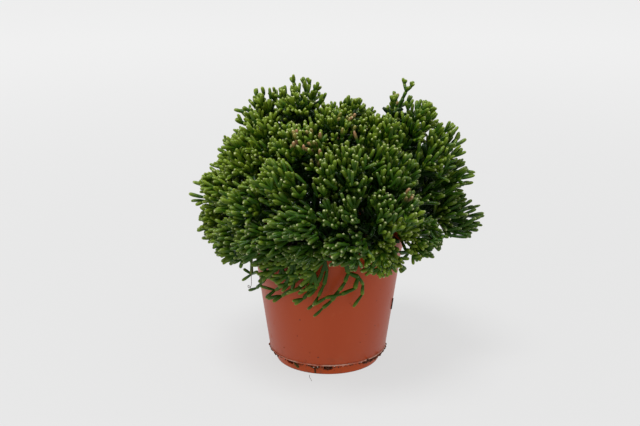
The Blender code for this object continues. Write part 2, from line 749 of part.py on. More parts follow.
def build_stem(name, limbs, collection):
    """One stem as one closed body: its main limb with its side limbs joined to it."""
    main = placed(name, limb_mesh(limbs[0], 0), collection)
    if len(limbs) == 1:
        return main
    side_limbs = bpy.data.collections.new("side_limbs")
    for rank, limb in enumerate(limbs[1:], start=1):
        placed("side_limb", limb_mesh(limb, rank), side_limbs)
    union = main.modifiers.new("join", "BOOLEAN")
    union.operation = "UNION"
    union.solver = "EXACT"
    union.operand_type = "COLLECTION"
    union.collection = side_limbs
    mesh = evaluated_mesh(main)
    triangulated(mesh)
    main.modifiers.clear()
    main.data = mesh
    for side in list(side_limbs.objects):
        bpy.data.objects.remove(side)
    bpy.data.collections.remove(side_limbs)
    return main


def main():
    """Builds the potted plant."""
    for old in list(bpy.data.objects):
        bpy.data.objects.remove(old)
    plant = bpy.data.collections.new("potted_hatiora")
    cutters = bpy.data.collections.new("cutters")
    bpy.context.scene.collection.children.link(plant)
    bpy.context.scene.collection.children.link(cutters)

    stems = grow()
    build_pot(plant, cutters).data.materials.append(material("terracotta_plastic", *TERRACOTTA))
    build_soil(stems, plant, cutters).data.materials.append(material("peat", *PEAT))
    for stem, limbs in zip(stems, clear_limbs(stems)):
        made = build_stem(stem.name, limbs, plant)
        made.data.materials.append(material(stem.name + "_green", *GREEN))


main()
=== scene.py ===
"""Looks of the potted hatiora: a moulded nursery pot, its peat, and a cushion of waxy, segmented stems.

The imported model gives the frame. Every rooted stem is grown by the same rule as its solid, segment by
segment, and takes that solid's place. The pot and the peat are remade with their fine shapes.
"""
from __future__ import annotations

import logging
import math
import random
from collections.abc import Callable, Sequence
from dataclasses import dataclass, field
from enum import Enum

import bmesh
import bpy
import numpy as np
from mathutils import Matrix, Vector

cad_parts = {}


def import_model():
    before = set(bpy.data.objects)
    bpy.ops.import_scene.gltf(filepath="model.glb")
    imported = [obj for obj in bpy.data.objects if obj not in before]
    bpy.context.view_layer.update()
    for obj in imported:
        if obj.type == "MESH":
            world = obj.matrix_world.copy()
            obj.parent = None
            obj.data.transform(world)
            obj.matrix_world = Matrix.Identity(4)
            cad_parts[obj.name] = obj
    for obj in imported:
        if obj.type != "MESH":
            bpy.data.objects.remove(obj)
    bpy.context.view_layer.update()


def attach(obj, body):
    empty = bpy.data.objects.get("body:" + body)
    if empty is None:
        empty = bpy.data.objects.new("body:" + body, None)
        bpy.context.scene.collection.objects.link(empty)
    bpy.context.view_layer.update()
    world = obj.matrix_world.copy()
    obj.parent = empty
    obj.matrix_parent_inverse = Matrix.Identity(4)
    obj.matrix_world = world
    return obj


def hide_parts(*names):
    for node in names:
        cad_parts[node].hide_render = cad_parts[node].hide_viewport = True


LOG = logging.getLogger("potted_hatiora")
BODY = "root"
MM = 0.001
TINY = 0.000001

Colour = tuple[float, float, float]
Band = tuple[float, float]
Outline = list[tuple[float, float]]
Point = np.ndarray
UP = np.array((0.0, 0.0, 1.0))


def unit(vector: Point) -> Point:
    """Returns the vector at length one."""
    return vector / np.linalg.norm(vector)


def compass(azimuth: float, elevation: float = 0.0) -> Point:
    """Returns the unit direction of an azimuth and an elevation in degrees."""
    turn, rise = math.radians(azimuth), math.radians(elevation)
    return np.array((math.cos(rise) * math.cos(turn), math.cos(rise) * math.sin(turn), math.sin(rise)))


def bearing(point: Point) -> float:
    """Returns the azimuth of a point in degrees."""
    return math.degrees(math.atan2(point[1], point[0]))


def frame_along(way: Point, rng: random.Random) -> tuple[Point, Point, Point]:
    """Sets up axes along a way, turned about it at random.

    Args:
        way: The way.
        rng: Source of the turn.

    Returns:
        Two sides at right angles to the way, and the way at length one.
    """
    along = unit(way)
    side = unit(np.cross(along, unit(np.array((rng.gauss(0, 1), rng.gauss(0, 1), rng.gauss(0, 1))))))
    return side, np.cross(along, side), along


class Value:
    """A socket of a shader's node tree that Python's operators work on."""

    def __init__(self, graph: Graph, socket: bpy.types.NodeSocket) -> None:
        """Keeps the socket and the graph that it belongs to."""
        self.graph = graph
        self.socket = socket

    def _math(self, operation: str, *terms: Value | float) -> Value:
        """Returns the result of a Math node with an operation and its inputs in order."""
        return self.graph.node("ShaderNodeMath", {"operation": operation}, dict(enumerate(terms)))

    def __add__(self, other: Value | float) -> Value:
        """Returns the sum."""
        return self._math("ADD", self, other)

    def __sub__(self, other: Value | float) -> Value:
        """Returns the difference."""
        return self._math("SUBTRACT", self, other)

    def __rsub__(self, other: float) -> Value:
        """Returns the difference, taken from a number."""
        return self._math("SUBTRACT", other, self)

    def __mul__(self, other: Value | float) -> Value:
        """Returns the product."""
        return self._math("MULTIPLY", self, other)

    __radd__ = __add__
    __rmul__ = __mul__

    def step(self, low: float, high: float) -> Value:
        """Returns a smooth step from 0 at low to 1 at high, of which either may be the larger."""
        settings = {"interpolation_type": "SMOOTHSTEP", "clamp": True}
        return self.graph.node("ShaderNodeMapRange", settings, {0: self, 1: low, 2: high})


class Graph:
    """Node tree of one material, written as expressions."""

    def __init__(self, name: str) -> None:
        """Starts a material under a name.

        Args:
            name: The material's name.
        """
        self.material = bpy.data.materials.new(name)
        self.material.use_nodes = True
        self.tree = self.material.node_tree
        self.shader = next(node for node in self.tree.nodes if node.type == "BSDF_PRINCIPLED")

    def node(self, kind: str, settings: dict[str, object] | None = None,
             inputs: dict[str | int, object] | None = None, output: str | int = 0) -> Value:
        """Adds any node.

        Args:
            kind: The node's type.
            settings: Its properties, which are set first.
            inputs: Values or links of its sockets, by name or by number.
            output: Which of its outputs is wanted.

        Returns:
            That output.
        """
        made = self.tree.nodes.new(kind)
        for name, setting in (settings or {}).items():
            setattr(made, name, setting)
        for name, given in (inputs or {}).items():
            self.feed(made.inputs[name], given)
        return Value(self, made.outputs[output])

    def feed(self, socket: bpy.types.NodeSocket, given: object) -> None:
        """Links a value to a socket, or sets the socket.

        Args:
            socket: The socket.
            given: A value to link, or a number, vector or colour to set.
        """
        if isinstance(given, Value):
            self.tree.links.new(given.socket, socket)
        elif isinstance(given, tuple):
            socket.default_value = (*given, 1.0) if len(socket.default_value) == 4 else given
        else:
            socket.default_value = given

    def finish(self, **sockets: object) -> bpy.types.Material:
        """Feeds the shader's sockets.

        Args:
            sockets: What each gets, by its name in small letters with underscores for spaces.

        Returns:
            The finished material.
        """
        for name, given in sockets.items():
            self.feed(self.shader.inputs[name.replace("_", " ").title().replace("Ior", "IOR")], given)
        return self.material

    def place(self) -> Value:
        """Returns the coordinates of the piece, in metres."""
        return self.node("ShaderNodeTexCoord", output="Object")

    def told(self, name: str) -> Value:
        """Returns what the mesh says about itself under a name."""
        return self.node("ShaderNodeAttribute", {"attribute_name": name}, output="Fac")

    def noise(self, cells: float, detail: float = 3.0, rough: float = 0.55,
              at: Value | None = None) -> Value:
        """Returns noise with a number of cells to the metre."""
        inputs = {"Vector": at or self.place(), "Scale": cells, "Detail": detail, "Roughness": rough}
        return self.node("ShaderNodeTexNoise", None, inputs)

    def mix(self, share: Value | float, first: Value | Colour, second: Value | Colour,
            blend: str = "MIX") -> Value:
        """Returns a blend of two colours."""
        settings = {"data_type": "RGBA", "blend_type": blend, "clamp_factor": True}
        return self.node("ShaderNodeMix", settings, {0: share, 6: first, 7: second}, output=2)

    def bump(self, height: Value, depth: float, strength: float = 1.0) -> Value:
        """Returns the normal of a surface raised by a height of up to a depth in metres."""
        inputs = {"Height": height, "Distance": depth, "Strength": strength}
        return self.node("ShaderNodeBump", None, inputs)


NOISE_MIDDLE = 0.5


@dataclass(frozen=True)
class StemSkin:
    """Waxy green skin: yellow-green when young, darker with age, corky at the foot, pale felt at the tips
    that is also a painted highlight.

    A segment looks young towards its top, where painted light falls on it, in a patch of new growth and
    where its mottling and tint say so, and less so with age. Where little painted light falls it takes a
    darker painted shade. A band holds the values between which something sets in.
    """

    young: Colour = (0.158, 0.232, 0.014)
    grown: Colour = (0.026, 0.081, 0.003)
    old: Colour = (0.006, 0.024, 0.001)
    cork: Colour = (0.030, 0.020, 0.010)
    felt: Colour = (0.540, 0.560, 0.290)
    blush: Colour = (0.400, 0.190, 0.105)
    shade_side: Colour = (0.016, 0.052, 0.003)
    roughness: float = 0.32
    specular: float = 0.15
    mottle_cells: float = 420.0
    pore_cells: float = 2600.0
    young_along: float = 1.2
    young_light_and_flush: float = 0.42
    young_mottle: float = 0.5
    young_tint: float = 0.20
    young_age: float = 1.1
    young_from: float = 0.55
    shade_band: Band = (0.40, 0.0)
    shade_share: float = 0.5
    old_band: Band = (0.15, 0.80)
    cork_band: Band = (0.92, 1.0)
    blush_band: Band = (0.35, 0.9)
    felt_and_highlight_band: Band = (0.10, 0.85)
    felt_and_highlight_share: float = 0.85
    mottle_roughness: float = 0.25
    age_roughness: float = 0.12
    felt_roughness: float = 0.25
    pore_share: float = 0.5
    relief: float = 0.00022
    relief_strength: float = 0.6

    def material(self) -> bpy.types.Material:
        """Returns the skin's material.

        Returns:
            The material, which reads what each segment's corners say about themselves.
        """
        graph = Graph("waxy_green_skin")
        age = graph.told("age")
        along = graph.told("along")
        tint = graph.told("tint")
        sun = graph.told("sun")
        mottle = graph.noise(self.mottle_cells, 2.0)
        felt = graph.told("felt")
        blotch = mottle - NOISE_MIDDLE
        # painted light, and a patch of new growth, make a segment look younger and yellower
        youth = (along * self.young_along + sun * self.young_light_and_flush + blotch * self.young_mottle
                 + tint * self.young_tint - age * self.young_age - self.young_from)
        colour = graph.mix(youth.step(0.0, 1.0), self.grown, self.young)
        # painted shade: a darker green where little painted light falls
        colour = graph.mix(sun.step(*self.shade_band) * self.shade_share, colour, self.shade_side)
        colour = graph.mix(age.step(*self.old_band), colour, self.old)
        colour = graph.mix(age.step(*self.cork_band), colour, self.cork)
        colour = graph.mix(graph.told("blush") * along.step(*self.blush_band), colour, self.blush)
        # pale felt on the tips, brightened to also be a painted highlight
        colour = graph.mix(felt.step(*self.felt_and_highlight_band) * self.felt_and_highlight_share, colour, self.felt)
        pores = graph.noise(self.pore_cells, 1.0)
        rough = (self.roughness + blotch * self.mottle_roughness + age * self.age_roughness
                 + felt * self.felt_roughness)
        relief = graph.bump(pores * self.pore_share + mottle, self.relief, self.relief_strength)
        return graph.finish(base_color=colour, roughness=rough, specular_ior_level=self.specular,
                            normal=relief)


@dataclass(frozen=True)
class PotPlastic:
    """Satin terracotta-coloured plastic with faint flow marks, a pale worn band along the wall's lower
    edge that is also a painted highlight, dust above the foot and small scuffs.

    Patterns are given by their cells to the metre and bands of their strength, and the rest by heights
    in metres.
    """

    body: Colour = (0.430, 0.060, 0.011)
    pale: Colour = (0.500, 0.105, 0.036)
    deep: Colour = (0.400, 0.048, 0.006)
    foot: Colour = (0.480, 0.066, 0.006)
    worn_and_highlit_edge: Colour = (0.720, 0.400, 0.300)
    dust: Colour = (0.120, 0.066, 0.036)
    speck: Colour = (0.050, 0.016, 0.010)
    roughness: float = 0.38
    specular: float = 0.22
    flow_cells: float = 34.0
    flow_stretch: tuple[float, float, float] = (1.0, 1.0, 0.22)
    flow_band: Band = (0.35, 0.75)
    flow_share: float = 0.5
    cloud_cells: float = 58.0
    cloud_band: Band = (0.55, 0.80)
    cloud_share: float = 0.22
    grain_cells: float = 1700.0
    grain_share: float = 0.3
    foot_edge: Band = (0.0102, 0.0086)
    highlit_wear_from_below: Band = (0.0084, 0.0091)
    highlit_wear_from_above: Band = (0.0106, 0.0099)
    highlit_wear_cells: float = 75.0
    highlit_wear_band: Band = (0.36, 0.62)
    highlit_wear_share: float = 0.75
    highlit_wear_least: float = 0.12
    dust_height: Band = (0.022, 0.002)
    dust_cells: float = 210.0
    dust_band: Band = (0.50, 0.72)
    dust_share: float = 0.55
    underside_height: Band = (0.0011, 0.0002)
    underside_share: float = 0.8
    speck_cells: float = 330.0
    speck_band: Band = (0.765, 0.80)
    speck_share: float = 0.8
    scuff_cells: float = 260.0
    scuff_turn: tuple[float, float, float] = (0.3, 0.2, 0.5)
    scuff_stretch: tuple[float, float, float] = (1.0, 0.16, 0.5)
    scuff_band: Band = (0.66, 0.74)
    scuff_share: float = 0.16
    dust_roughness: float = 0.3
    scuff_roughness: float = 0.12
    uneven_roughness: float = 0.10
    relief: float = 0.00010
    relief_strength: float = 0.5

    def material(self) -> bpy.types.Material:
        """Returns the plastic's material.

        Returns:
            The material, which takes the pot's heights from its place.
        """
        graph = Graph("terracotta_plastic")
        place = graph.place()
        height = graph.node("ShaderNodeSeparateXYZ", None, {"Vector": place}, output="Z")
        drawn = graph.node("ShaderNodeMapping", None, {"Vector": place, "Scale": self.flow_stretch})
        flow = graph.noise(self.flow_cells, 3.0, 0.5, drawn)
        cloud = graph.noise(self.cloud_cells, 4.0, 0.6)
        grain = graph.noise(self.grain_cells, 2.0)
        colour = graph.mix(flow.step(*self.flow_band) * self.flow_share, self.body, self.deep)
        colour = graph.mix(cloud.step(*self.cloud_band) * self.cloud_share, colour, self.pale)
        colour = graph.mix(height.step(*self.foot_edge), colour, self.foot)
        # pale worn band along the wall's lower edge, which is also a painted highlight of the bead
        edge = height.step(*self.highlit_wear_from_below) * height.step(*self.highlit_wear_from_above)
        highlit_wear = graph.noise(self.highlit_wear_cells, 3.0, 0.6).step(*self.highlit_wear_band)
        colour = graph.mix(edge * (highlit_wear * self.highlit_wear_share + self.highlit_wear_least), colour, self.worn_and_highlit_edge)
        dusty = graph.noise(self.dust_cells, 5.0, 0.7).step(*self.dust_band)
        low = height.step(*self.dust_height) * dusty
        colour = graph.mix(low * self.dust_share, colour, self.dust)
        # darker at the very bottom of the foot, in the dust colour
        colour = graph.mix(height.step(*self.underside_height) * self.underside_share, colour, self.dust)
        specks = graph.noise(self.speck_cells, 1.0, 0.4).step(*self.speck_band)
        colour = graph.mix(specks * self.speck_share, colour, self.speck)
        slanted = {"Vector": place, "Rotation": self.scuff_turn, "Scale": self.scuff_stretch}
        scuffs = graph.noise(self.scuff_cells, 2.0, 0.5, graph.node("ShaderNodeMapping", None, slanted))
        scuff = scuffs.step(*self.scuff_band)
        colour = graph.mix(scuff * self.scuff_share, colour, self.pale)
        rough = (self.roughness + low * self.dust_roughness + scuff * self.scuff_roughness
                 + (cloud - NOISE_MIDDLE) * self.uneven_roughness
                 + (grain - NOISE_MIDDLE) * self.uneven_roughness)
        relief = graph.bump(grain * self.grain_share + flow, self.relief, self.relief_strength)
        return graph.finish(base_color=colour, roughness=rough, specular_ior_level=self.specular,
                            normal=relief)


@dataclass(frozen=True)
class Peat:
    """Dark, fibrous peat with brown crumbs and a few pale grains."""

    wet: Colour = (0.011, 0.0065, 0.0040)
    dry: Colour = (0.062, 0.034, 0.018)
    fibre: Colour = (0.120, 0.064, 0.030)
    grain: Colour = (0.420, 0.370, 0.290)
    roughness: float = 0.92
    specular: float = 0.12
    lump_cells: float = 360.0
    lump_band: Band = (0.38, 0.68)
    crumb_cells: float = 1400.0
    crumb_band: Band = (0.60, 0.74)
    crumb_share: float = 0.7
    crumb_shine: float = 0.15
    crumb_relief: float = 0.5
    grain_cells: float = 900.0
    grain_band: Band = (0.80, 0.83)
    relief: float = 0.0008

    def material(self) -> bpy.types.Material:
        """Returns the peat's material.

        Returns:
            The material, lumpy and rough.
        """
        graph = Graph("fibrous_peat")
        lumps = graph.noise(self.lump_cells, 6.0, 0.7)
        crumbs = graph.noise(self.crumb_cells, 3.0, 0.6)
        colour = graph.mix(lumps.step(*self.lump_band), self.wet, self.dry)
        colour = graph.mix(crumbs.step(*self.crumb_band) * self.crumb_share, colour, self.fibre)
        colour = graph.mix(graph.noise(self.grain_cells, 0.0).step(*self.grain_band), colour, self.grain)
        return graph.finish(base_color=colour, roughness=self.roughness - crumbs * self.crumb_shine,
                            specular_ior_level=self.specular,
                            normal=graph.bump(lumps + crumbs * self.crumb_relief, self.relief))


@dataclass(frozen=True)
class DryBit:
    """Dry plant matter: a root hair, a shed segment or a flake, with fibres along it."""

    name: str
    light: Colour
    dark: Colour
    roughness: float = 0.75
    specular: float = 0.12
    streak_cells: float = 900.0
    streak_band: Band = (0.35, 0.65)
    streak_shine: float = 0.1
    relief: float = 0.0003

    def material(self) -> bpy.types.Material:
        """Returns the dry bit's material.

        Returns:
            The material, under the bit's own name.
        """
        graph = Graph(self.name)
        streaks = graph.noise(self.streak_cells, 4.0, 0.65)
        colour = graph.mix(streaks.step(*self.streak_band), self.dark, self.light)
        return graph.finish(base_color=colour, roughness=self.roughness - streaks * self.streak_shine,
                            specular_ior_level=self.specular, normal=graph.bump(streaks, self.relief))


class Source(Enum):
    """Points that the tufts fan out from."""

    HEART = (0.0, 0.0, 0.100)
    FRONT = (0.010, -0.050, 0.109)
    RIGHT = (0.026, -0.006, 0.103)

    def point(self) -> Point:
        """Returns the point."""
        return np.array(self.value)


@dataclass(frozen=True)
class Tuft:
    """One tuft of the cushion.

    It has the place of its middle in degrees, its reach in mm, its half width in degrees, how early it
    forks, the way its twigs lean as seen from the front (0 to the right, 90 up, in degrees), how much they
    lean, and how long and bare they are.
    """

    name: str
    azimuth: float
    elevation: float
    reach: float
    half_width: float
    fan: float
    source: Source = Source.HEART
    lean: float = 90
    lean_share: float = 0.0
    stretch: float = 1.0

    def axis(self) -> Point:
        """Returns the direction of the tuft's middle from the heart."""
        return compass(self.azimuth, self.elevation)

    def leaning(self) -> Point:
        """Returns the pull on the tuft's twigs."""
        turn = math.radians(self.lean)
        return np.array((math.cos(turn), 0.0, math.sin(turn))) * self.lean_share


NEAR_TUFTS = (
    Tuft("top_left", -172, 78, 122, 16, 1.8, Source.HEART, 112, 0.3),
    Tuft("far_top_left", 172, 62, 123.5, 15, 1.8, Source.HEART, 118, 0.3),
    Tuft("upper_left", -150, 58, 113, 14, 1.8, Source.HEART, 125, 0.6),
    Tuft("left_shoulder", -166, 44, 110, 14, 1.8, Source.HEART, 145, 0.5),
    Tuft("left_mid", -168, 25, 107.5, 15, 1.8, Source.HEART, 168, 0.4),
    Tuft("left_low", -172, 9, 101, 15, 1.9, Source.HEART, -172, 0.4),
    Tuft("left_bottom", -152, 5, 95, 15, 1.9, Source.FRONT, -162, 0.6),
    Tuft("centre_left_high", -112, 56, 112, 15, 1.8, Source.HEART, 115, 0.9),
    Tuft("centre_top", -82, 72, 108, 14, 1.8, Source.HEART, 92, 0.7),
    Tuft("centre_high", -82, 42, 113, 16, 2.0, Source.HEART, 108, 1.1),
    Tuft("centre_left", -118, 38, 112, 14, 1.8, Source.FRONT, 140, 1.0),
    Tuft("mid_left", -138, 25, 109, 14, 2.0, Source.FRONT, 168, 0.8),
    Tuft("low_left", -130, 11, 101, 14, 2.3, Source.FRONT, -163, 0.8),
    Tuft("centre_low", -107, 21, 109, 15, 2.1, Source.FRONT, -176, 1.1),
    Tuft("centre_mid", -82, 24, 108, 13, 2.0, Source.HEART, 130, 1.1),
    Tuft("centre_right", -59, 23, 113, 15, 1.8, Source.HEART, 68, 1.1),
    Tuft("centre_low_right", -80, 11, 104, 14, 2.0, Source.HEART, -168, 0.9),
    Tuft("right_top", -38, 60, 112, 14, 1.9, Source.HEART, 78, 0.6),
    Tuft("right_high", -52, 41, 113, 14, 2.0, Source.HEART, 68, 1.0, 1.1),
    Tuft("right_crest", 0, 53, 126, 15, 2.0, Source.RIGHT, 64, 0.2),
    Tuft("right_shoulder", -5, 41, 126, 15, 2.3, Source.RIGHT, 62, 0.4),
    Tuft("right_mid", -4, 28, 117, 13, 2.8, Source.RIGHT, 32, 0.5, 1.3),
    Tuft("right_sweep", -3, 8, 113, 16, 3.0, Source.RIGHT, 30, 0.6, 1.3),
    Tuft("right_low", -29, 5, 94, 17, 1.8, Source.HEART, 4, 0.5, 0.8),
    Tuft("rim_right", -59, 1, 91, 14, 1.8, Source.HEART, -60, 0.4, 0.75),
    Tuft("rim_front", -103, 6, 93, 13, 2.2, Source.FRONT, -160, 0.9),
    Tuft("peak", 4, 60.5, 134, 9, 1.6, Source.RIGHT, 92, 0.4, 0.75),
    Tuft("crest", -25, 80, 110, 13, 1.8, Source.HEART, 92, 0.3),
)


@dataclass(frozen=True)
class HangingTuft:
    """A tuft that hangs over the rim.

    It has the azimuths of its stem, its fork and its tips in degrees, the heights of its lowest and
    highest tip in mm, the number of tips, and the chains that stand out from it, each joint as azimuth,
    height and stand-off from the pot's wall.
    """

    azimuth: float
    fork: float
    first: float
    last: float
    low: float
    high: float
    tips: int
    chains: tuple[tuple[tuple[float, float, float], ...], ...] = ()


# Stems that hang over the rim one by one, as rows of parent row, azimuth in degrees, height and stand-off
# from the pot's wall in mm
TRAILING = {
    "trailing_fork": (
        (-1, -81, 111, 3), (0, -80, 101, 6), (1, -77, 90, 6), (2, -79, 83, 6), (3, -83, 76, 6),
        (4, -88, 68, 6), (5, -94, 62, 6), (6, -101, 54, 5), (2, -70, 86, 6), (8, -66, 79, 6),
        (9, -66, 71, 6), (10, -72, 61, 5), (8, -73, 78, 9), (12, -82, 75, 11), (13, -92, 72, 10),
        (14, -100, 65, 7), (15, -105, 60, 6)),
    "trailing_side": (
        (-1, -152, 112, 4), (0, -149, 100, 9), (1, -150, 88, 9), (2, -153, 77.5, 9), (3, -155, 82, 14),
        (3, -159.5, 70.5, 15), (3, -143, 83, 9), (1, -141, 90, 6), (7, -137, 81, 6), (8, -144, 73, 6),
        (9, -150, 67, 8), (10, -157, 63, 12)),
}
HANGING_LEAN = np.array((-1.6, 0.0, -0.22))
HANGING = {
    "trailing_left_inner": HangingTuft(-86, -92, -95, -121, 66, 101, 24, (
        ((-94, 92, 8), (-97, 83, 6), (-103, 75, 5), (-108, 68, 5), (-114, 59.5, 5)),
        ((-91, 92, 6), (-93, 81, 5), (-97, 71, 5), (-104, 61.5, 5)))),
    "trailing_left_outer": HangingTuft(-106, -112, -114, -150, 70, 102, 34, (
        ((-113, 92, 9), (-116, 85, 8), (-121, 78, 6), (-131, 70.5, 5), (-148, 64.5, 6)),
        ((-111, 92, 8), (-113, 83, 7), (-116, 75, 5), (-125.5, 67, 5), (-137.5, 58, 5)))),
    "trailing_right": HangingTuft(-54, -54, -47, -65, 79, 93, 12, (
        ((-47, 95, 9), (-40, 90, 11), (-34, 85, 12), (-31, 80, 12)),
        ((-42, 101, 10), (-32, 98, 12), (-24, 93, 13)))),
}


@dataclass(frozen=True)
class PotShape:
    """Sizes of the pot, in metres."""

    rim_radius: float = 0.060
    height: float = 0.104
    collar_height: float = 0.011
    collar_step: float = 0.0008
    wall_foot_radius: float = 0.046
    wall_foot: float = 0.0092
    foot_radius: float = 0.0412
    foot_draft: float = 0.0006
    wall: float = 0.0013
    floor: float = 0.0018
    bead: float = 0.0006
    drain_slots: int = 8
    slot_width: float = 0.0065
    slot_low: float = 0.0042
    slot_high: float = 0.0078
    soil_level: float = 0.093
    inner_draft: float = 0.0004

    def wall_radius(self, height: float) -> float:
        """Returns the outer radius of the wall at a height.

        Args:
            height: The height, which may lie past the wall's ends.

        Returns:
            The radius there, or at the nearer end.
        """
        within = min(max(height, self.wall_foot), self.height)
        share = (within - self.wall_foot) / (self.height - self.wall_foot)
        return self.wall_foot_radius + share * (self.rim_radius - self.wall_foot_radius)

    def by_wall(self, azimuth: float, height_mm: float, off_mm: float) -> Point:
        """Finds a point outside the wall.

        Args:
            azimuth: Its azimuth in degrees.
            height_mm: Its height in mm.
            off_mm: How far it stands off the wall, in mm.

        Returns:
            The point.
        """
        height = height_mm / 1000
        point = compass(azimuth) * (self.wall_radius(height) + off_mm / 1000)
        point[2] = height
        return point


POT = PotShape()


@dataclass(frozen=True)
class TwigHabit:
    """How the outermost twigs grow: how they fork, spread and vary."""

    fork_weights: tuple[float, float, float] = (0.42, 0.46, 0.12)
    fork_spread: float = 0.36
    tip_share: Band = (0.66, 1.0)
    side_twigs: float = 0.35
    side_spread: float = 0.85
    side_lean: float = 0.7
    side_length: Band = (0.0070, 0.0110)
    inner_twigs: int = 4
    inner_spread: float = 1.4
    inner_length: Band = (0.011, 0.018)
    young_orders: int = 2
    inner_orders: int = 12
    shaded_within: float = 0.106
    uneven_spread: Band = (0.6, 1.25)
    sway: float = 0.16
    bareness: float = 2.5

    def is_shaded(self, point: Point) -> bool:
        """Returns whether a joint lies so deep in the cushion that its twigs are shaded ones."""
        deep = float(np.linalg.norm(point - Source.HEART.point())) < self.shaded_within
        return deep and point[2] > POT.height

    def jitter(self, rng: random.Random) -> Point:
        """Returns a small random turn."""
        return np.array([rng.gauss(0, self.sway) for _ in range(3)])

    def spread(self, way: Point, count: int, spread: float, rng: random.Random) -> list[Point]:
        """Returns directions spread evenly round a way.

        Args:
            way: The way that they share.
            count: How many are wanted.
            spread: How far they stand off the way.
            rng: Source of their differences.

        Returns:
            The directions.
        """
        side, other, way = frame_along(way, rng)
        ways = []
        for k in range(count):
            turn = 2 * math.pi * k / count
            off = spread * rng.uniform(*self.uneven_spread)
            around = side * math.cos(turn) + other * math.sin(turn)
            ways.append(unit(way + off * around + self.jitter(rng)))
        return ways


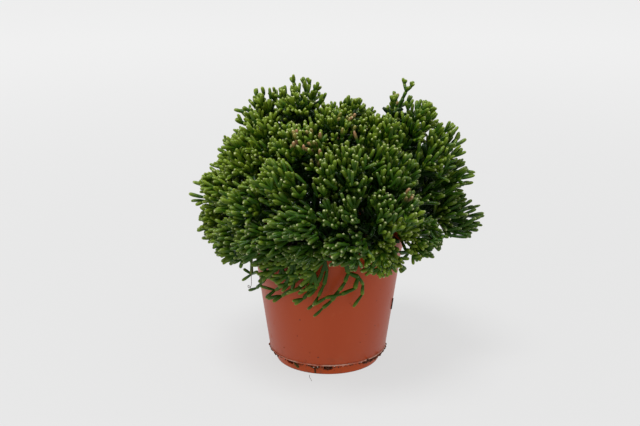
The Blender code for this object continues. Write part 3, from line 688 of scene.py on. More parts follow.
@dataclass
class Stem:
    """One rooted stem: its joints, and the joint that each one grew from."""

    name: str
    spot: Point
    size: float = 1.0
    source: Point | None = None
    leaning: Point = field(default_factory=lambda: np.zeros(3))
    stretch: float = 1.0
    twiggy: bool = True
    points: list[Point] = field(default_factory=list)
    parents: list[int] = field(default_factory=list)
    shaded: set[int] = field(default_factory=set)

    SOCKET_DEPTH = 0.008
    FIT_GAP = 0.0003
    FOOT_RISE = 0.003
    FOOT_PULL = 0.36
    FORK_PULL = 0.34
    FORK_LIFT = 0.3
    INNER_STEP = 0.0155
    OUTER_STEP = 0.0125
    LAST_STEP = 0.0185
    WHORL_REACH = 0.0265
    MANY_TIPS = 12
    THREE_WAY_TIPS = 4
    THREE_WAY_CHANCE = 0.5
    HOLD_SHARE = 0.45
    TURN_SHARE = 0.55
    BEND_SHARE = 0.5
    SWAY = 0.05
    WALL_CLEARANCE = 0.0045
    RIM_BAND = 0.008

    def __post_init__(self) -> None:
        """Plants the stem in its socket."""
        x, y = self.spot
        self.points = [np.array((x, y, POT.soil_level - self.SOCKET_DEPTH + self.FIT_GAP)),
                       np.array((x, y, POT.soil_level + self.FOOT_RISE))]
        self.parents = [-1, 0]

    def _clear_of_pot(self, point: Point) -> Point:
        """Moves a point that hangs beside the pot out to where the stem clears the wall.

        Args:
            point: The point.

        Returns:
            The point, moved or as it was.
        """
        radius = math.hypot(point[0], point[1])
        wall = POT.wall_radius(point[2]) + self.WALL_CLEARANCE
        low = point[2] < POT.height + self.WALL_CLEARANCE
        if low and POT.rim_radius - self.RIM_BAND < radius < wall:
            point = point * np.array((wall / radius, wall / radius, 1.0))
        return point

    def add(self, point: Point, parent: int) -> int:
        """Adds a joint.

        Args:
            point: Its place.
            parent: The number of the joint that it grows from.

        Returns:
            Its number.
        """
        self.points.append(self._clear_of_pot(point))
        self.parents.append(parent)
        return len(self.points) - 1

    def climb(self, fork: Point, end_way: Point) -> int:
        """Grows the bare foot of the stem from the soil up to its first fork.

        Args:
            fork: Where the first fork is.
            end_way: The direction in which the foot gets there.

        Returns:
            The number of the fork's joint.
        """
        collar = self.points[1]
        length = np.linalg.norm(fork - collar)
        first = collar + UP * self.FOOT_PULL * length
        second = fork - unit(end_way + self.FORK_LIFT * UP) * self.FORK_PULL * length
        at = 1
        steps = max(1, round(length / self.INNER_STEP))
        for i in range(1, steps + 1):
            t = i / steps
            u = 1 - t
            at = self.add(u**3 * collar + 3 * u * u * t * first + 3 * u * t * t * second + t**3 * fork, at)
        return at

    def branch(self, at: int, way: Point, tips: Point, fan: float, rng: random.Random) -> None:
        """Grows joint by joint towards the tips, forking where they spread too wide for one chain.

        Args:
            at: The joint that it starts from.
            way: The direction in which the stem gets there.
            tips: The tips to grow to.
            fan: How early the stem forks.
            rng: Source of the sway.
        """
        work = [(at, way, tips)]
        while work:
            at, way, group = work.pop()
            here = self.points[at]
            centre = group.mean(0)
            distance = np.linalg.norm(centre - here)
            if len(group) == 1:
                self._finish(at, way, centre)
                continue
            wide = np.linalg.norm(group - centre, axis=1).max()
            step = (self.INNER_STEP if len(group) > self.MANY_TIPS else self.OUTER_STEP) * self.size
            parts = [group]
            if distance < fan * wide + step:
                three = len(group) > self.THREE_WAY_TIPS and rng.random() < self.THREE_WAY_CHANCE
                parts = gather(group, 3 if three else 2)
            for part in parts:
                if len(part) == 1:
                    work.append((at, way, part))
                    continue
                ahead = part.mean(0) - here
                away = np.linalg.norm(ahead)
                if away < self.WHORL_REACH * self.size:
                    for tip in part:
                        self._finish(at, way, tip)
                    continue
                sway = np.array([rng.gauss(0, self.SWAY) for _ in range(3)])
                turn = unit(self.HOLD_SHARE * way + self.TURN_SHARE * ahead / away + sway)
                joint = self.add(here + turn * min(step, away - self.LAST_STEP * self.size), at)
                work.append((joint, turn, part))

    def _finish(self, at: int, way: Point, tip: Point) -> None:
        """Grows the last chain of segments, which turns outwards on its way to the tip.

        Args:
            at: The joint that it starts from.
            way: The direction in which the stem gets there.
            tip: Where it ends.
        """
        here = self.points[at]
        distance = np.linalg.norm(tip - here)
        outwards = way if self.source is None else unit(tip - self.source)
        bend = tip - outwards * distance * self.BEND_SHARE
        steps = max(1, round(distance / (self.OUTER_STEP * self.size)))
        for i in range(1, steps + 1):
            t = i / steps
            at = self.add((1 - t)**2 * here + 2 * t * (1 - t) * bend + t * t * tip, at)

    def leaf_out(self, habit: TwigHabit, rng: random.Random) -> None:
        """Splits the last segments into forked twigs, and grows side twigs from the joints behind them.

        Args:
            habit: How the twigs grow.
            rng: Source of their differences.
        """
        order = self.orders()
        bushy = self.stretch ** -habit.bareness
        for i in range(2, len(order)):
            here = self.points[self.parents[i]]
            run = self.points[i] - here
            length = np.linalg.norm(run)
            way = run / length
            if order[i] == 0:
                count = rng.choices((1, 2, 3), habit.fork_weights)[0] if rng.random() < bushy else 1
                aims = habit.spread(way + self.leaning, count, habit.fork_spread, rng)
                length *= self.stretch
                end = here + aims[0] * length * rng.uniform(*habit.tip_share)
                self.points[i] = self._clear_of_pot(end)
                for aim in aims[1:]:
                    self.add(here + aim * length * rng.uniform(*habit.tip_share), self.parents[i])
            elif order[i] <= habit.young_orders:
                if rng.random() < habit.side_twigs * bushy:
                    aim = habit.spread(way + self.leaning * habit.side_lean, 1, habit.side_spread, rng)[0]
                    self.add(self.points[i] + aim * rng.uniform(*habit.side_length) * self.size, i)
            elif order[i] <= habit.inner_orders and habit.is_shaded(self.points[i]):
                for aim in habit.spread(way, habit.inner_twigs, habit.inner_spread, rng):
                    reach = rng.uniform(*habit.inner_length) * self.size
                    self.shaded.add(self.add(self.points[i] + aim * reach, i))

    def orders(self) -> list[int]:
        """Counts the segments beyond each joint.

        Returns:
            For each joint, how many segments the longest chain beyond it has.
        """
        order = [0] * len(self.points)
        for i in range(len(self.points) - 1, 0, -1):
            order[self.parents[i]] = max(order[self.parents[i]], order[i] + 1)
        return order


GATHER_ROUNDS = 8


def gather(tips: Point, count: int) -> list[Point]:
    """Splits tips into groups, each round its own middle.

    Args:
        tips: The tips, one a row.
        count: How many groups are wanted.

    Returns:
        The groups that hold a tip.
    """
    centre = tips.mean(0)
    middles = [tips[np.linalg.norm(tips - centre, axis=1).argmax()]]
    while len(middles) < count:
        away = np.min([np.linalg.norm(tips - middle, axis=1) for middle in middles], axis=0)
        middles.append(tips[away.argmax()])
    middles = np.array(middles)
    for _ in range(GATHER_ROUNDS):
        label = np.linalg.norm(tips[:, None] - middles[None], axis=2).argmin(1)
        middles = np.array([tips[label == i].mean(0) if (label == i).any() else middles[i]
                            for i in range(count)])
    return [tips[label == i] for i in range(count) if (label == i).any()]


@dataclass
class Cushion:
    """The whole plant: spreads its tips, gives them to tufts, and grows a rooted stem for each tuft."""

    seed: int = 11

    # Tips: how many directions are tried, how a tuft's reach falls off, and how uneven the tips stand
    directions: int = 5000
    way_jitter: float = 0.010
    tuft_edge: float = 1.15
    dent: float = 0.17
    reach_spare: float = 1.05
    unevenness: float = 0.03
    deep_tips: float = 0.34
    deep_band: Band = (0.07, 0.24)
    lone_tips: float = 0.07
    lone_reach: float = 0.04
    over_rim_kept: float = 0.008
    past_rim_kept: float = 0.011

    # Lowest height of the tips in mm, by azimuth in degrees
    skirt: tuple[tuple[float, float], ...] = (
        (-180, 82), (-166, 82), (-150, 87), (-138, 97), (-110, 105), (-82, 105), (-72, 97), (-64, 90),
        (-54, 92), (-42, 93), (-30, 97), (-18, 99), (-6, 100), (6, 100), (20, 94), (90, 84), (180, 84))

    # Rows of the far side: name, elevation, number of tufts and reach in mm
    back_rows: tuple[tuple[str, float, int, float], ...] = (
        ("back_top", 66, 2, 108), ("back_high", 42, 4, 112), ("back_mid", 19, 5, 110),
        ("back_low", 0, 4, 98))
    back_from: float = 18
    back_to: float = 172
    back_width: float = 17
    back_fan: float = 1.8
    back_ripple: float = 4
    ripple_stride: float = 2.4

    # Places of the stems in the soil, nearer the middle for a higher tuft
    soil_reach: float = 0.046
    base_spacing: float = 0.0112
    highest: float = 90
    spread_over: float = 95
    spread_power: float = 0.85
    pushes: int = 200
    push_share: float = 0.25

    # First forks: inside the cushion, or up over the rim for a low tuft
    fork_spacing: float = 0.0095
    fork_share: float = 0.44
    early_fork_share: float = 0.36
    early_fan: float = 2.2
    low_fork_under: float = 0.012
    low_fork_band: float = 0.020
    low_fork_radius: float = 0.046
    low_fork_swing: float = 0.016
    low_fork_rise: float = 0.0115

    # Stubbier segments towards the crown, by elevation in degrees
    crown_size: float = 0.62
    crown_from: float = 46
    crown_full: float = 74

    # Hanging stems: where they pass the rim, as height and stand-off in mm, and how their tips lie
    hanging_fan: float = 2.6
    over_rim: tuple[float, float] = (111.5, 3)
    over_rim_turn: float = 0.6
    over_rim_dip: float = -17
    under_rim: tuple[float, float] = (102, 8)
    rise_stride: float = 0.618
    rise_start: float = 0.3
    least_off: float = 5
    more_off: float = 9
    azimuth_jitter: float = 2

    def tufts(self) -> list[Tuft]:
        """Lists the tufts.

        Returns:
            Those of the near side and the rows of the far side.
        """
        tufts = list(NEAR_TUFTS)
        for name, elevation, count, reach in self.back_rows:
            for i in range(count):
                azimuth = self.back_from + (i + 0.5) * (self.back_to - self.back_from) / count
                ripple = self.back_ripple * math.sin(self.ripple_stride * len(tufts))
                tufts.append(Tuft(f"{name}_{i + 1}", azimuth, elevation, reach + ripple, self.back_width,
                                  self.back_fan))
        return tufts

    def _tips(self, tufts: list[Tuft], rng: random.Random) -> list[Point]:
        """Spreads the tips evenly over the cushion and gives each to the tuft that it lies in.

        Args:
            tufts: The tufts.
            rng: Source of the unevenness.

        Returns:
            The tips of each tuft, one a row.
        """
        heart = Source.HEART.point()
        axes = np.array([tuft.axis() for tuft in tufts])
        widths = np.radians([tuft.half_width for tuft in tufts])
        skirt_azimuths, skirt_heights = zip(*self.skirt)
        groups: list[list[Point]] = [[] for _ in tufts]
        golden = math.pi * (3 - math.sqrt(5))
        for i in range(self.directions):
            rise = 1 - 2 * (i + 0.5) / self.directions
            flat = math.sqrt(1 - rise * rise)
            jitter = np.array([rng.gauss(0, self.way_jitter) for _ in range(3)])
            way = unit(np.array((flat * math.cos(golden * i), flat * math.sin(golden * i), rise)) + jitter)
            away = np.arccos(np.clip(axes @ way, -1, 1)) / widths
            k = int(away.argmin())
            depth = (rng.uniform(*self.deep_band) if rng.random() < self.deep_tips
                     else abs(rng.gauss(0, self.unevenness)))
            if away[k] > self.tuft_edge:
                continue
            if rng.random() < self.lone_tips:
                depth = -self.lone_reach * rng.random()
            falling_off = 1 - self.dent * min(away[k], 1) ** 2
            tip = heart + way * (tufts[k].reach / 1000 * falling_off * (self.reach_spare - depth))
            skirt = np.interp(bearing(way), skirt_azimuths, skirt_heights) / 1000
            low = tip[2] < POT.height + self.over_rim_kept
            in_pot = low and math.hypot(tip[0], tip[1]) < POT.rim_radius + self.past_rim_kept
            if tip[2] > skirt and not in_pot:
                groups[k].append(tip)
        return [np.array(group) for group in groups]

    def _pushed_apart(self, spots: Point, spacing: float) -> Point:
        """Moves spots away from those that lie nearer than a spacing, by one step.

        Args:
            spots: The spots, one a row.
            spacing: The room that each is to have.

        Returns:
            The moved spots.
        """
        between = spots[:, None] - spots[None]
        distance = np.linalg.norm(between, axis=2)
        near = (distance < spacing) & (distance > 0)
        push = np.where(near, (spacing - distance) * self.push_share / np.maximum(distance, TINY), 0)
        return spots + (between * push[..., None]).sum(1)

    def _base_share(self, elevation: float) -> float:
        """Returns how far out a tuft's stem stands, as a share of the soil's reach."""
        return min(1.0, max(0.0, (self.highest - elevation) / self.spread_over)) ** self.spread_power

    def _bases(self, azimuths: list[float], shares: list[float]) -> Point:
        """Places the stems in the soil, pushed apart until each has room.

        Args:
            azimuths: The azimuth of each.
            shares: How far out each starts, as a share of the soil's reach.

        Returns:
            Their places, one a row.
        """
        spots = np.array([compass(a)[:2] * s * self.soil_reach for a, s in zip(azimuths, shares)])
        for _ in range(self.pushes):
            spots = self._pushed_apart(spots, self.base_spacing)
            spread = np.maximum(np.linalg.norm(spots, axis=1), TINY)
            spots *= np.minimum(1, self.soil_reach / spread)[:, None]
        return spots

    def _first_fork(self, source: Point, tips: Point, fan: float) -> Point:
        """Places a stem's first fork: inside the cushion, or up over the rim for a low tuft.

        Args:
            source: The point that the tuft fans out from.
            tips: The tuft's tips, one a row.
            fan: How early the stem forks.

        Returns:
            The fork's place.
        """
        share = self.early_fork_share if fan > self.early_fan else self.fork_share
        fork = source + (tips.mean(0) - source) * share
        low = min(1.0, max(0.0, (POT.height + self.low_fork_under - fork[2]) / self.low_fork_band))
        if low > 0:
            radius = self.low_fork_radius + self.low_fork_swing * low
            x, y = unit(fork[:2]) * max(np.linalg.norm(fork[:2]), radius)
            fork = np.array((x, y, POT.height + self.low_fork_rise))
        return fork

    def _segment_size(self, elevation: float) -> float:
        """Returns the length of a tuft's segments beside those of a low tuft."""
        high = min(1.0, max(0.0, (elevation - self.crown_from) / (self.crown_full - self.crown_from)))
        return 1 - (1 - self.crown_size) * high

    def _hanging_tips(self, tuft: HangingTuft, rng: random.Random) -> Point:
        """Spreads the tips of a hanging tuft over a patch of the pot's wall.

        Args:
            tuft: The tuft.
            rng: Source of the unevenness.

        Returns:
            The tips, one a row.
        """
        tips = []
        for i in range(tuft.tips):
            rise = (i * self.rise_stride + self.rise_start) % 1
            azimuth = tuft.first + (tuft.last - tuft.first) * (i + 0.5) / tuft.tips
            azimuth += rng.uniform(-self.azimuth_jitter, self.azimuth_jitter)
            off = self.least_off + self.more_off * rng.random() * rise
            tips.append(POT.by_wall(azimuth, tuft.low + (tuft.high - tuft.low) * rise, off))
        return np.array(tips)

    def _upright(self, tuft: Tuft, spot: Point, fork: Point, tips: Point, rng: random.Random) -> Stem:
        """Grows the stem of a tuft of the cushion.

        Args:
            tuft: The tuft.
            spot: Where the stem stands in the soil.
            fork: Where its first fork is.
            tips: Its tips, one a row.
            rng: Source of the sway.

        Returns:
            The stem.
        """
        size = self._segment_size(tuft.elevation) * min(1.0, tuft.stretch)
        stem = Stem("stem_" + tuft.name, spot, size, tuft.source.point(), tuft.leaning(), tuft.stretch)
        way = unit(tips.mean(0) - fork)
        stem.branch(stem.climb(fork, way), way, tips, tuft.fan, rng)
        return stem

    def _trailing(self, name: str, spot: Point) -> Stem:
        """Grows a stem that hangs over the rim joint by joint along its route.

        Args:
            name: The route's name.
            spot: Where the stem stands in the soil.

        Returns:
            The stem.
        """
        stem = Stem("stem_" + name, spot, twiggy=False)
        joints: list[int] = []
        for parent, azimuth, height, off in TRAILING[name]:
            point = POT.by_wall(azimuth, height, off)
            joints.append(stem.climb(point, compass(azimuth, self.over_rim_dip)) if parent < 0
                          else stem.add(point, joints[parent]))
        return stem

    def _hanging(self, name: str, spot: Point, rng: random.Random) -> Stem:
        """Grows the stem of a tuft that hangs over the rim, with the chains that stand out from it.

        Args:
            name: The tuft's name.
            spot: Where the stem stands in the soil.
            rng: Source of the unevenness and the sway.

        Returns:
            The stem.
        """
        tuft = HANGING[name]
        stem = Stem("stem_" + name, spot, leaning=HANGING_LEAN)
        tips = self._hanging_tips(tuft, rng)
        over = POT.by_wall(tuft.azimuth, *self.over_rim)
        way = unit(compass(tuft.azimuth) + self.over_rim_turn * unit(tips.mean(0) - over))
        at = stem.add(POT.by_wall(tuft.fork, *self.under_rim), stem.climb(over, way))
        for chain in tuft.chains:
            joint = at
            for place in chain:
                joint = stem.add(POT.by_wall(*place), joint)
        stem.branch(at, unit(tips.mean(0) - stem.points[at]), tips, self.hanging_fan, rng)
        return stem

    def grow(self) -> list[Stem]:
        """Grows all the stems: those of the tufts, and those that hang over the rim.

        Returns:
            The stems, each named as its solid.
        """
        rng = random.Random(self.seed)
        tufts = self.tufts()
        groups = self._tips(tufts, rng)
        forks = np.array([self._first_fork(tuft.source.point(), tips, tuft.fan)
                          for tuft, tips in zip(tufts, groups)])
        for _ in range(self.pushes):
            forks = self._pushed_apart(forks, self.fork_spacing)
        azimuths = [bearing(fork) for fork in forks]
        azimuths += [route[0][1] for route in TRAILING.values()]
        azimuths += [tuft.azimuth for tuft in HANGING.values()]
        shares = [self._base_share(tuft.elevation) for tuft in tufts]
        shares += [1.0] * (len(TRAILING) + len(HANGING))
        spots = iter(self._bases(azimuths, shares))
        stems = [self._upright(tuft, next(spots), fork, tips, rng)
                 for tuft, fork, tips in zip(tufts, forks, groups)]
        stems += [self._trailing(name, next(spots)) for name in TRAILING]
        stems += [self._hanging(name, next(spots), rng) for name in HANGING]
        return stems


class EditDesk:
    """Modelling steps that the pieces share."""

    @staticmethod
    def start_fresh() -> None:
        """Deselects everything, so that an operator acts on the new piece alone."""
        bpy.ops.object.select_all(action="DESELECT")

    @staticmethod
    def settle(piece: bpy.types.Object, name: str) -> bpy.types.Object:
        """Names a piece and moves its place into its mesh.

        Args:
            piece: The piece.
            name: Its name.

        Returns:
            The piece, at the origin.
        """
        piece.name = name
        piece.data.name = name
        EditDesk.start_fresh()
        piece.select_set(True)
        bpy.context.view_layer.objects.active = piece
        bpy.ops.object.transform_apply(location=True, rotation=True, scale=True)
        return piece

    @staticmethod
    def pick(piece: bpy.types.Object, wanted: Callable[[Vector], bool]) -> None:
        """Selects corners of a piece that is in edit mode.

        Args:
            piece: The piece.
            wanted: Whether a corner at a place is wanted.
        """
        bpy.ops.mesh.select_mode(type="VERT")
        bpy.ops.mesh.select_all(action="DESELECT")
        mesh = bmesh.from_edit_mesh(piece.data)
        for corner in mesh.verts:
            corner.select_set(wanted(corner.co))
        mesh.select_flush(True)
        bmesh.update_edit_mesh(piece.data)

    @staticmethod
    def apply(piece: bpy.types.Object, kind: str, **settings: object) -> None:
        """Adds a modifier and applies it.

        Args:
            piece: The piece that it shapes.
            kind: The modifier's type.
            settings: Its properties.
        """
        EditDesk.start_fresh()
        piece.select_set(True)
        bpy.context.view_layer.objects.active = piece
        modifier = piece.modifiers.new(kind.lower(), kind)
        for name, setting in settings.items():
            setattr(modifier, name, setting)
        bpy.ops.object.modifier_apply(modifier=modifier.name)

    @staticmethod
    def turn_up(name: str, rings: Outline, sides: int) -> bpy.types.Object:
        """Models a turned solid: a disc is extruded ring by ring along an outline.

        Args:
            name: The solid's name.
            rings: Its outline as (radius, height), starting at the edge of its underside.
            sides: How many sides it has.

        Returns:
            The closed solid.
        """
        EditDesk.start_fresh()
        first_radius, first_height = rings[0]
        bpy.ops.mesh.primitive_circle_add(
            vertices=sides, radius=first_radius, fill_type="NGON", location=(0.0, 0.0, first_height))
        piece = bpy.context.object
        bpy.ops.object.mode_set(mode="EDIT")
        radius, height = first_radius, first_height
        for next_radius, next_height in rings[1:]:
            bpy.ops.mesh.extrude_region_move(
                TRANSFORM_OT_translate={"value": (0.0, 0.0, next_height - height)})
            share = next_radius / radius
            bpy.ops.transform.resize(value=(share, share, 1.0), center_override=(0.0, 0.0, next_height))
            radius, height = next_radius, next_height
        bpy.ops.mesh.select_all(action="SELECT")
        bpy.ops.mesh.normals_make_consistent(inside=False)
        bpy.ops.object.mode_set(mode="OBJECT")
        return EditDesk.settle(piece, name)


class Form(Enum):
    """Shapes of a segment, as rings of height and radius, each a share of the whole, from foot to top."""

    CLUB = ((0.0, 0.46), (0.14, 0.66), (0.42, 0.88), (0.72, 1.0), (0.89, 0.88), (0.97, 0.54))
    STUB = ((0.0, 0.58), (0.16, 0.84), (0.44, 0.98), (0.70, 1.0), (0.88, 0.86), (0.97, 0.54))
    LINK = ((0.0, 0.52), (0.18, 0.74), (0.55, 0.92), (0.86, 1.0), (1.00, 0.70))
    CORKY = ((0.0, 0.90), (0.30, 0.92), (0.80, 1.0), (1.00, 0.80))


@dataclass(frozen=True)
class Casting:
    """One form of segment as the mould gives it: corners a unit long and a unit in radius, and faces."""

    corners: Point
    faces: tuple[tuple[int, ...], ...]


class SegmentMould:
    """Models each form of segment once, a unit long and a unit in radius, for the stems to copy."""

    SIDES = 7
    ON_RING = 0.0001
    OFF_AXIS = 0.5

    def __init__(self) -> None:
        """Models the castings of all forms."""
        self.castings = {form: self._model(form) for form in Form}

    def _model(self, form: Form) -> Casting:
        """Models one form from a cylinder, which is cut into rings that are then drawn in.

        Args:
            form: The form.

        Returns:
            Its casting.
        """
        EditDesk.start_fresh()
        bpy.ops.mesh.primitive_cylinder_add(
            vertices=self.SIDES, radius=1.0, depth=1.0, end_fill_type="TRIFAN", location=(0.0, 0.0, 0.5))
        model = EditDesk.settle(bpy.context.object, form.name.lower())
        rings = form.value
        bpy.ops.object.mode_set(mode="EDIT")
        for height, _ in rings[1:-1]:
            bpy.ops.mesh.select_all(action="SELECT")
            bpy.ops.mesh.bisect(plane_co=(0.0, 0.0, height), plane_no=(0.0, 0.0, 1.0))
        for level, (height, radius) in zip((0.0, *(h for h, _ in rings[1:-1]), 1.0), rings):
            EditDesk.pick(model, lambda co: abs(co.z - level) < self.ON_RING
                          and math.hypot(co.x, co.y) > self.OFF_AXIS)
            bpy.ops.transform.resize(value=(radius, radius, 1.0), center_override=(0.0, 0.0, level))
            bpy.ops.transform.translate(value=(0.0, 0.0, height - level))
        bpy.ops.object.mode_set(mode="OBJECT")
        casting = Casting(np.array([corner.co[:] for corner in model.data.vertices]),
                          tuple(tuple(face.vertices) for face in model.data.polygons))
        bpy.data.objects.remove(model)
        return casting


class Gathering:
    """Many castings that become one mesh."""

    def __init__(self) -> None:
        """Starts with nothing."""
        self.corners: list[Point] = []
        self.faces: list[tuple[int, ...]] = []
        self.count = 0

    def add(self, corners: Point, faces: Sequence[tuple[int, ...]]) -> None:
        """Adds one casting.

        Args:
            corners: Its corners, set out in their places.
            faces: Its faces, as numbers of its corners.
        """
        self.corners.append(corners)
        self.faces += [tuple(k + self.count for k in face) for face in faces]
        self.count += len(corners)

    def piece(self, name: str, material: bpy.types.Material, slot: str) -> bpy.types.Object:
        """Makes the piece.

        Args:
            name: Its name.
            material: Its finish.
            slot: Not used.

        Returns:
            The piece, smooth and riding on the body.
        """
        mesh = bpy.data.meshes.new(name)
        mesh.from_pydata(np.concatenate(self.corners).tolist(), [], self.faces)
        mesh.shade_smooth()
        mesh.materials.append(material)
        made = bpy.data.objects.new(name, mesh)
        bpy.context.scene.collection.objects.link(made)
        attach(made, BODY)
        return made


@dataclass(frozen=True)
class Flush:
    """A patch of new growth: its direction from the heart and its half width, in degrees."""

    azimuth: float
    elevation: float
    half_width: float

    def holds(self, point: Point) -> bool:
        """Returns whether a point lies in the patch."""
        way = unit(point - Source.HEART.point())
        return float(way @ compass(self.azimuth, self.elevation)) > math.cos(math.radians(self.half_width))


@dataclass
class StemBuilder:
    """Turns a grown stem into one piece: a closed segment from each joint to the next."""

    mould: SegmentMould
    material: bpy.types.Material
    habit: TwigHabit = TwigHabit()
    seed: int = 23

    # Girth, which grows with the number of segments beyond, and how a segment sits on the one before
    tip_radius: float = 0.00140
    foot_radius: float = 0.0021
    uneven_girth: Band = (0.86, 1.12)
    least_girth: float = 0.76
    size_girth: float = 0.24
    sink: float = 0.0009
    bow: float = 0.05
    stubby_under: float = 0.9
    corky_after: int = 7

    # Age, by the number of segments beyond, and a fixed age that darkens the shaded twigs deep in the
    # cushion as painted shade
    old_after: int = 9
    trailing_old_after: int = 24
    inner_age: float = 0.06
    painted_shade_age: float = 0.7

    # Painted light: more at the top and at the left, painted shade at the front, a least amount for stems
    # that hang under the rim, and more in a patch of new growth
    high_over: float = 0.11
    front_over: float = 0.1
    least_painted_light: float = 0.30
    top_painted_light: float = 0.66
    left_painted_light: float = 3.0
    front_painted_shade: float = 0.62
    uneven_painted_light: float = 0.09
    hanging_under: float = -0.05
    hanging_painted_light: float = 0.28
    fresh_flush_boost: float = 0.75
    fresh: Flush = Flush(-56, 4, 19)

    # Pink tips of new growth, and the pale felt on a segment's top, brightened to also be a painted
    # highlight
    flushes: tuple[Flush, ...] = (
        Flush(-105, 54, 7), Flush(-70, 70, 5), Flush(-54, 29, 3), Flush(14, 62, 3))
    blush_chance: float = 0.4
    blush_band: Band = (0.2, 0.9)
    felt_and_highlight_from: float = 0.94
    felt_and_highlight_over: float = 0.06
    felt_and_highlight_band: Band = (0.2, 1.0)

    def build(self, stem: Stem) -> bpy.types.Object:
        """Builds the piece of one stem.

        Args:
            stem: The grown stem.

        Returns:
            The piece, which stands for the stem's solid.
        """
        rng = random.Random(f"{self.seed}{stem.name}")
        if stem.twiggy:
            stem.leaf_out(self.habit, rng)
        order = stem.orders()
        segments = Gathering()
        tags = []
        for i in range(1, len(stem.points)):
            form = Form.CORKY if i in stem.shaded else self._form(order[i], stem.size)
            segments.add(self._set_out(stem, i, form, order[i], rng), self.mould.castings[form].faces)
            tags.append(self._tags(stem, i, form, order[i], rng))
        piece = segments.piece(stem.name + "_segments", self.material, "stem")
        tagged = np.concatenate(tags)
        # the fourth attribute is painted light with a patch of new growth, the last is pale felt with a
        # painted highlight
        for column, name in enumerate(("along", "age", "tint", "sun", "blush", "felt")):
            layer = piece.data.attributes.new(name, "FLOAT", "POINT")
            layer.data.foreach_set("value", tagged[:, column].astype(np.float32))
        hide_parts(stem.name)
        return piece

    def _form(self, order: int, size: float) -> Form:
        """Chooses the form of a segment.

        Args:
            order: How many segments are beyond it.
            size: The size of the stem's segments.

        Returns:
            The form.
        """
        if order == 0:
            return Form.STUB if size < self.stubby_under else Form.CLUB
        return Form.CORKY if order > self.corky_after else Form.LINK

    def _set_out(self, stem: Stem, i: int, form: Form, order: int, rng: random.Random) -> Point:
        """Sets out a segment from its joint to the next, with a slight bow.

        Args:
            stem: The stem.
            i: The number of the joint at its end.
            form: Its form.
            order: How many segments are beyond it.
            rng: Source of its girth, turn and bow.

        Returns:
            Its corners.
        """
        start, end = stem.points[stem.parents[i]], stem.points[i]
        side, other, along = frame_along(end - start, rng)
        if stem.parents[i] > 0:
            start = start - along * self.sink
        length = float(np.linalg.norm(end - start))
        share = min(1.0, order / self.old_after)
        radius = self.tip_radius + (self.foot_radius - self.tip_radius) * share
        radius *= rng.uniform(*self.uneven_girth) * (self.least_girth + self.size_girth * stem.size)
        corners = self.mould.castings[form].corners
        bowed = np.sin(np.pi * corners[:, 2]) * length * self.bow * rng.uniform(-1, 1)
        return (start + np.outer(corners[:, 2] * length, along)
                + np.outer(corners[:, 0] * radius + bowed, side)
                + np.outer(corners[:, 1] * radius, other))

    def _age(self, stem: Stem, i: int, order: int) -> float:
        """Tells how old a segment looks; a shaded twig gets a fixed age that darkens it as painted shade.

        Args:
            stem: The stem.
            i: The number of the joint at the segment's end.
            order: How many segments are beyond it.

        Returns:
            Its age, from 0 to 1.
        """
        # painted shade: shaded twigs deep in the cushion are darkened like old ones
        if i in stem.shaded:
            return self.painted_shade_age
        if not stem.twiggy:
            return order / self.trailing_old_after
        return min(1.0, order / self.old_after + (self.inner_age if order else 0.0))

    def _sun(self, end: Point, rng: random.Random) -> float:
        """Tells how much painted light a segment gets, with more in a patch of new growth.

        Args:
            end: Where it ends.
            rng: Source of the unevenness.

        Returns:
            Its painted light, from 0 to 1.
        """
        high = (end[2] - POT.height) / self.high_over
        front = min(1.0, max(0.0, -end[1] / self.front_over))
        # painted light: lighter at the top and the left, painted shade towards the front
        sun = (self.least_painted_light + self.top_painted_light * high - self.left_painted_light * end[0] - self.front_painted_shade * front
               + rng.gauss(0, self.uneven_painted_light))
        if self.fresh.holds(end):
            sun += self.fresh_flush_boost
        return min(1.0, max(self.hanging_painted_light if high < self.hanging_under else 0.0, sun))

    def _tags(self, stem: Stem, i: int, form: Form, order: int, rng: random.Random) -> Point:
        """Says what each corner of a segment tells the skin.

        Args:
            stem: The stem.
            i: The number of the joint at the segment's end.
            form: Its form.
            order: How many segments are beyond it.
            rng: Source of the unevenness.

        Returns:
            The corners' along, age, tint, painted light, blush and felt with its painted highlight, one
            corner a row.
        """
        along = self.mould.castings[form].corners[:, 2]
        age = self._age(stem, i, order)
        sun = self._sun(stem.points[i], rng)
        is_tip = order == 0 and i not in stem.shaded
        blush = 0.0
        if is_tip and rng.random() < self.blush_chance:
            if any(flush.holds(stem.points[i]) for flush in self.flushes):
                blush = rng.uniform(*self.blush_band)
        # felt on the tips, partly a painted highlight
        felt_and_highlight_strength = rng.uniform(*self.felt_and_highlight_band) if is_tip else 0.0
        felt = np.clip((along - self.felt_and_highlight_from) / self.felt_and_highlight_over, 0, 1) * felt_and_highlight_strength
        ones = np.ones_like(along)
        tint = rng.uniform(-1, 1)
        return np.stack((along, age * ones, tint * ones, sun * ones, blush * ones, felt), axis=1)


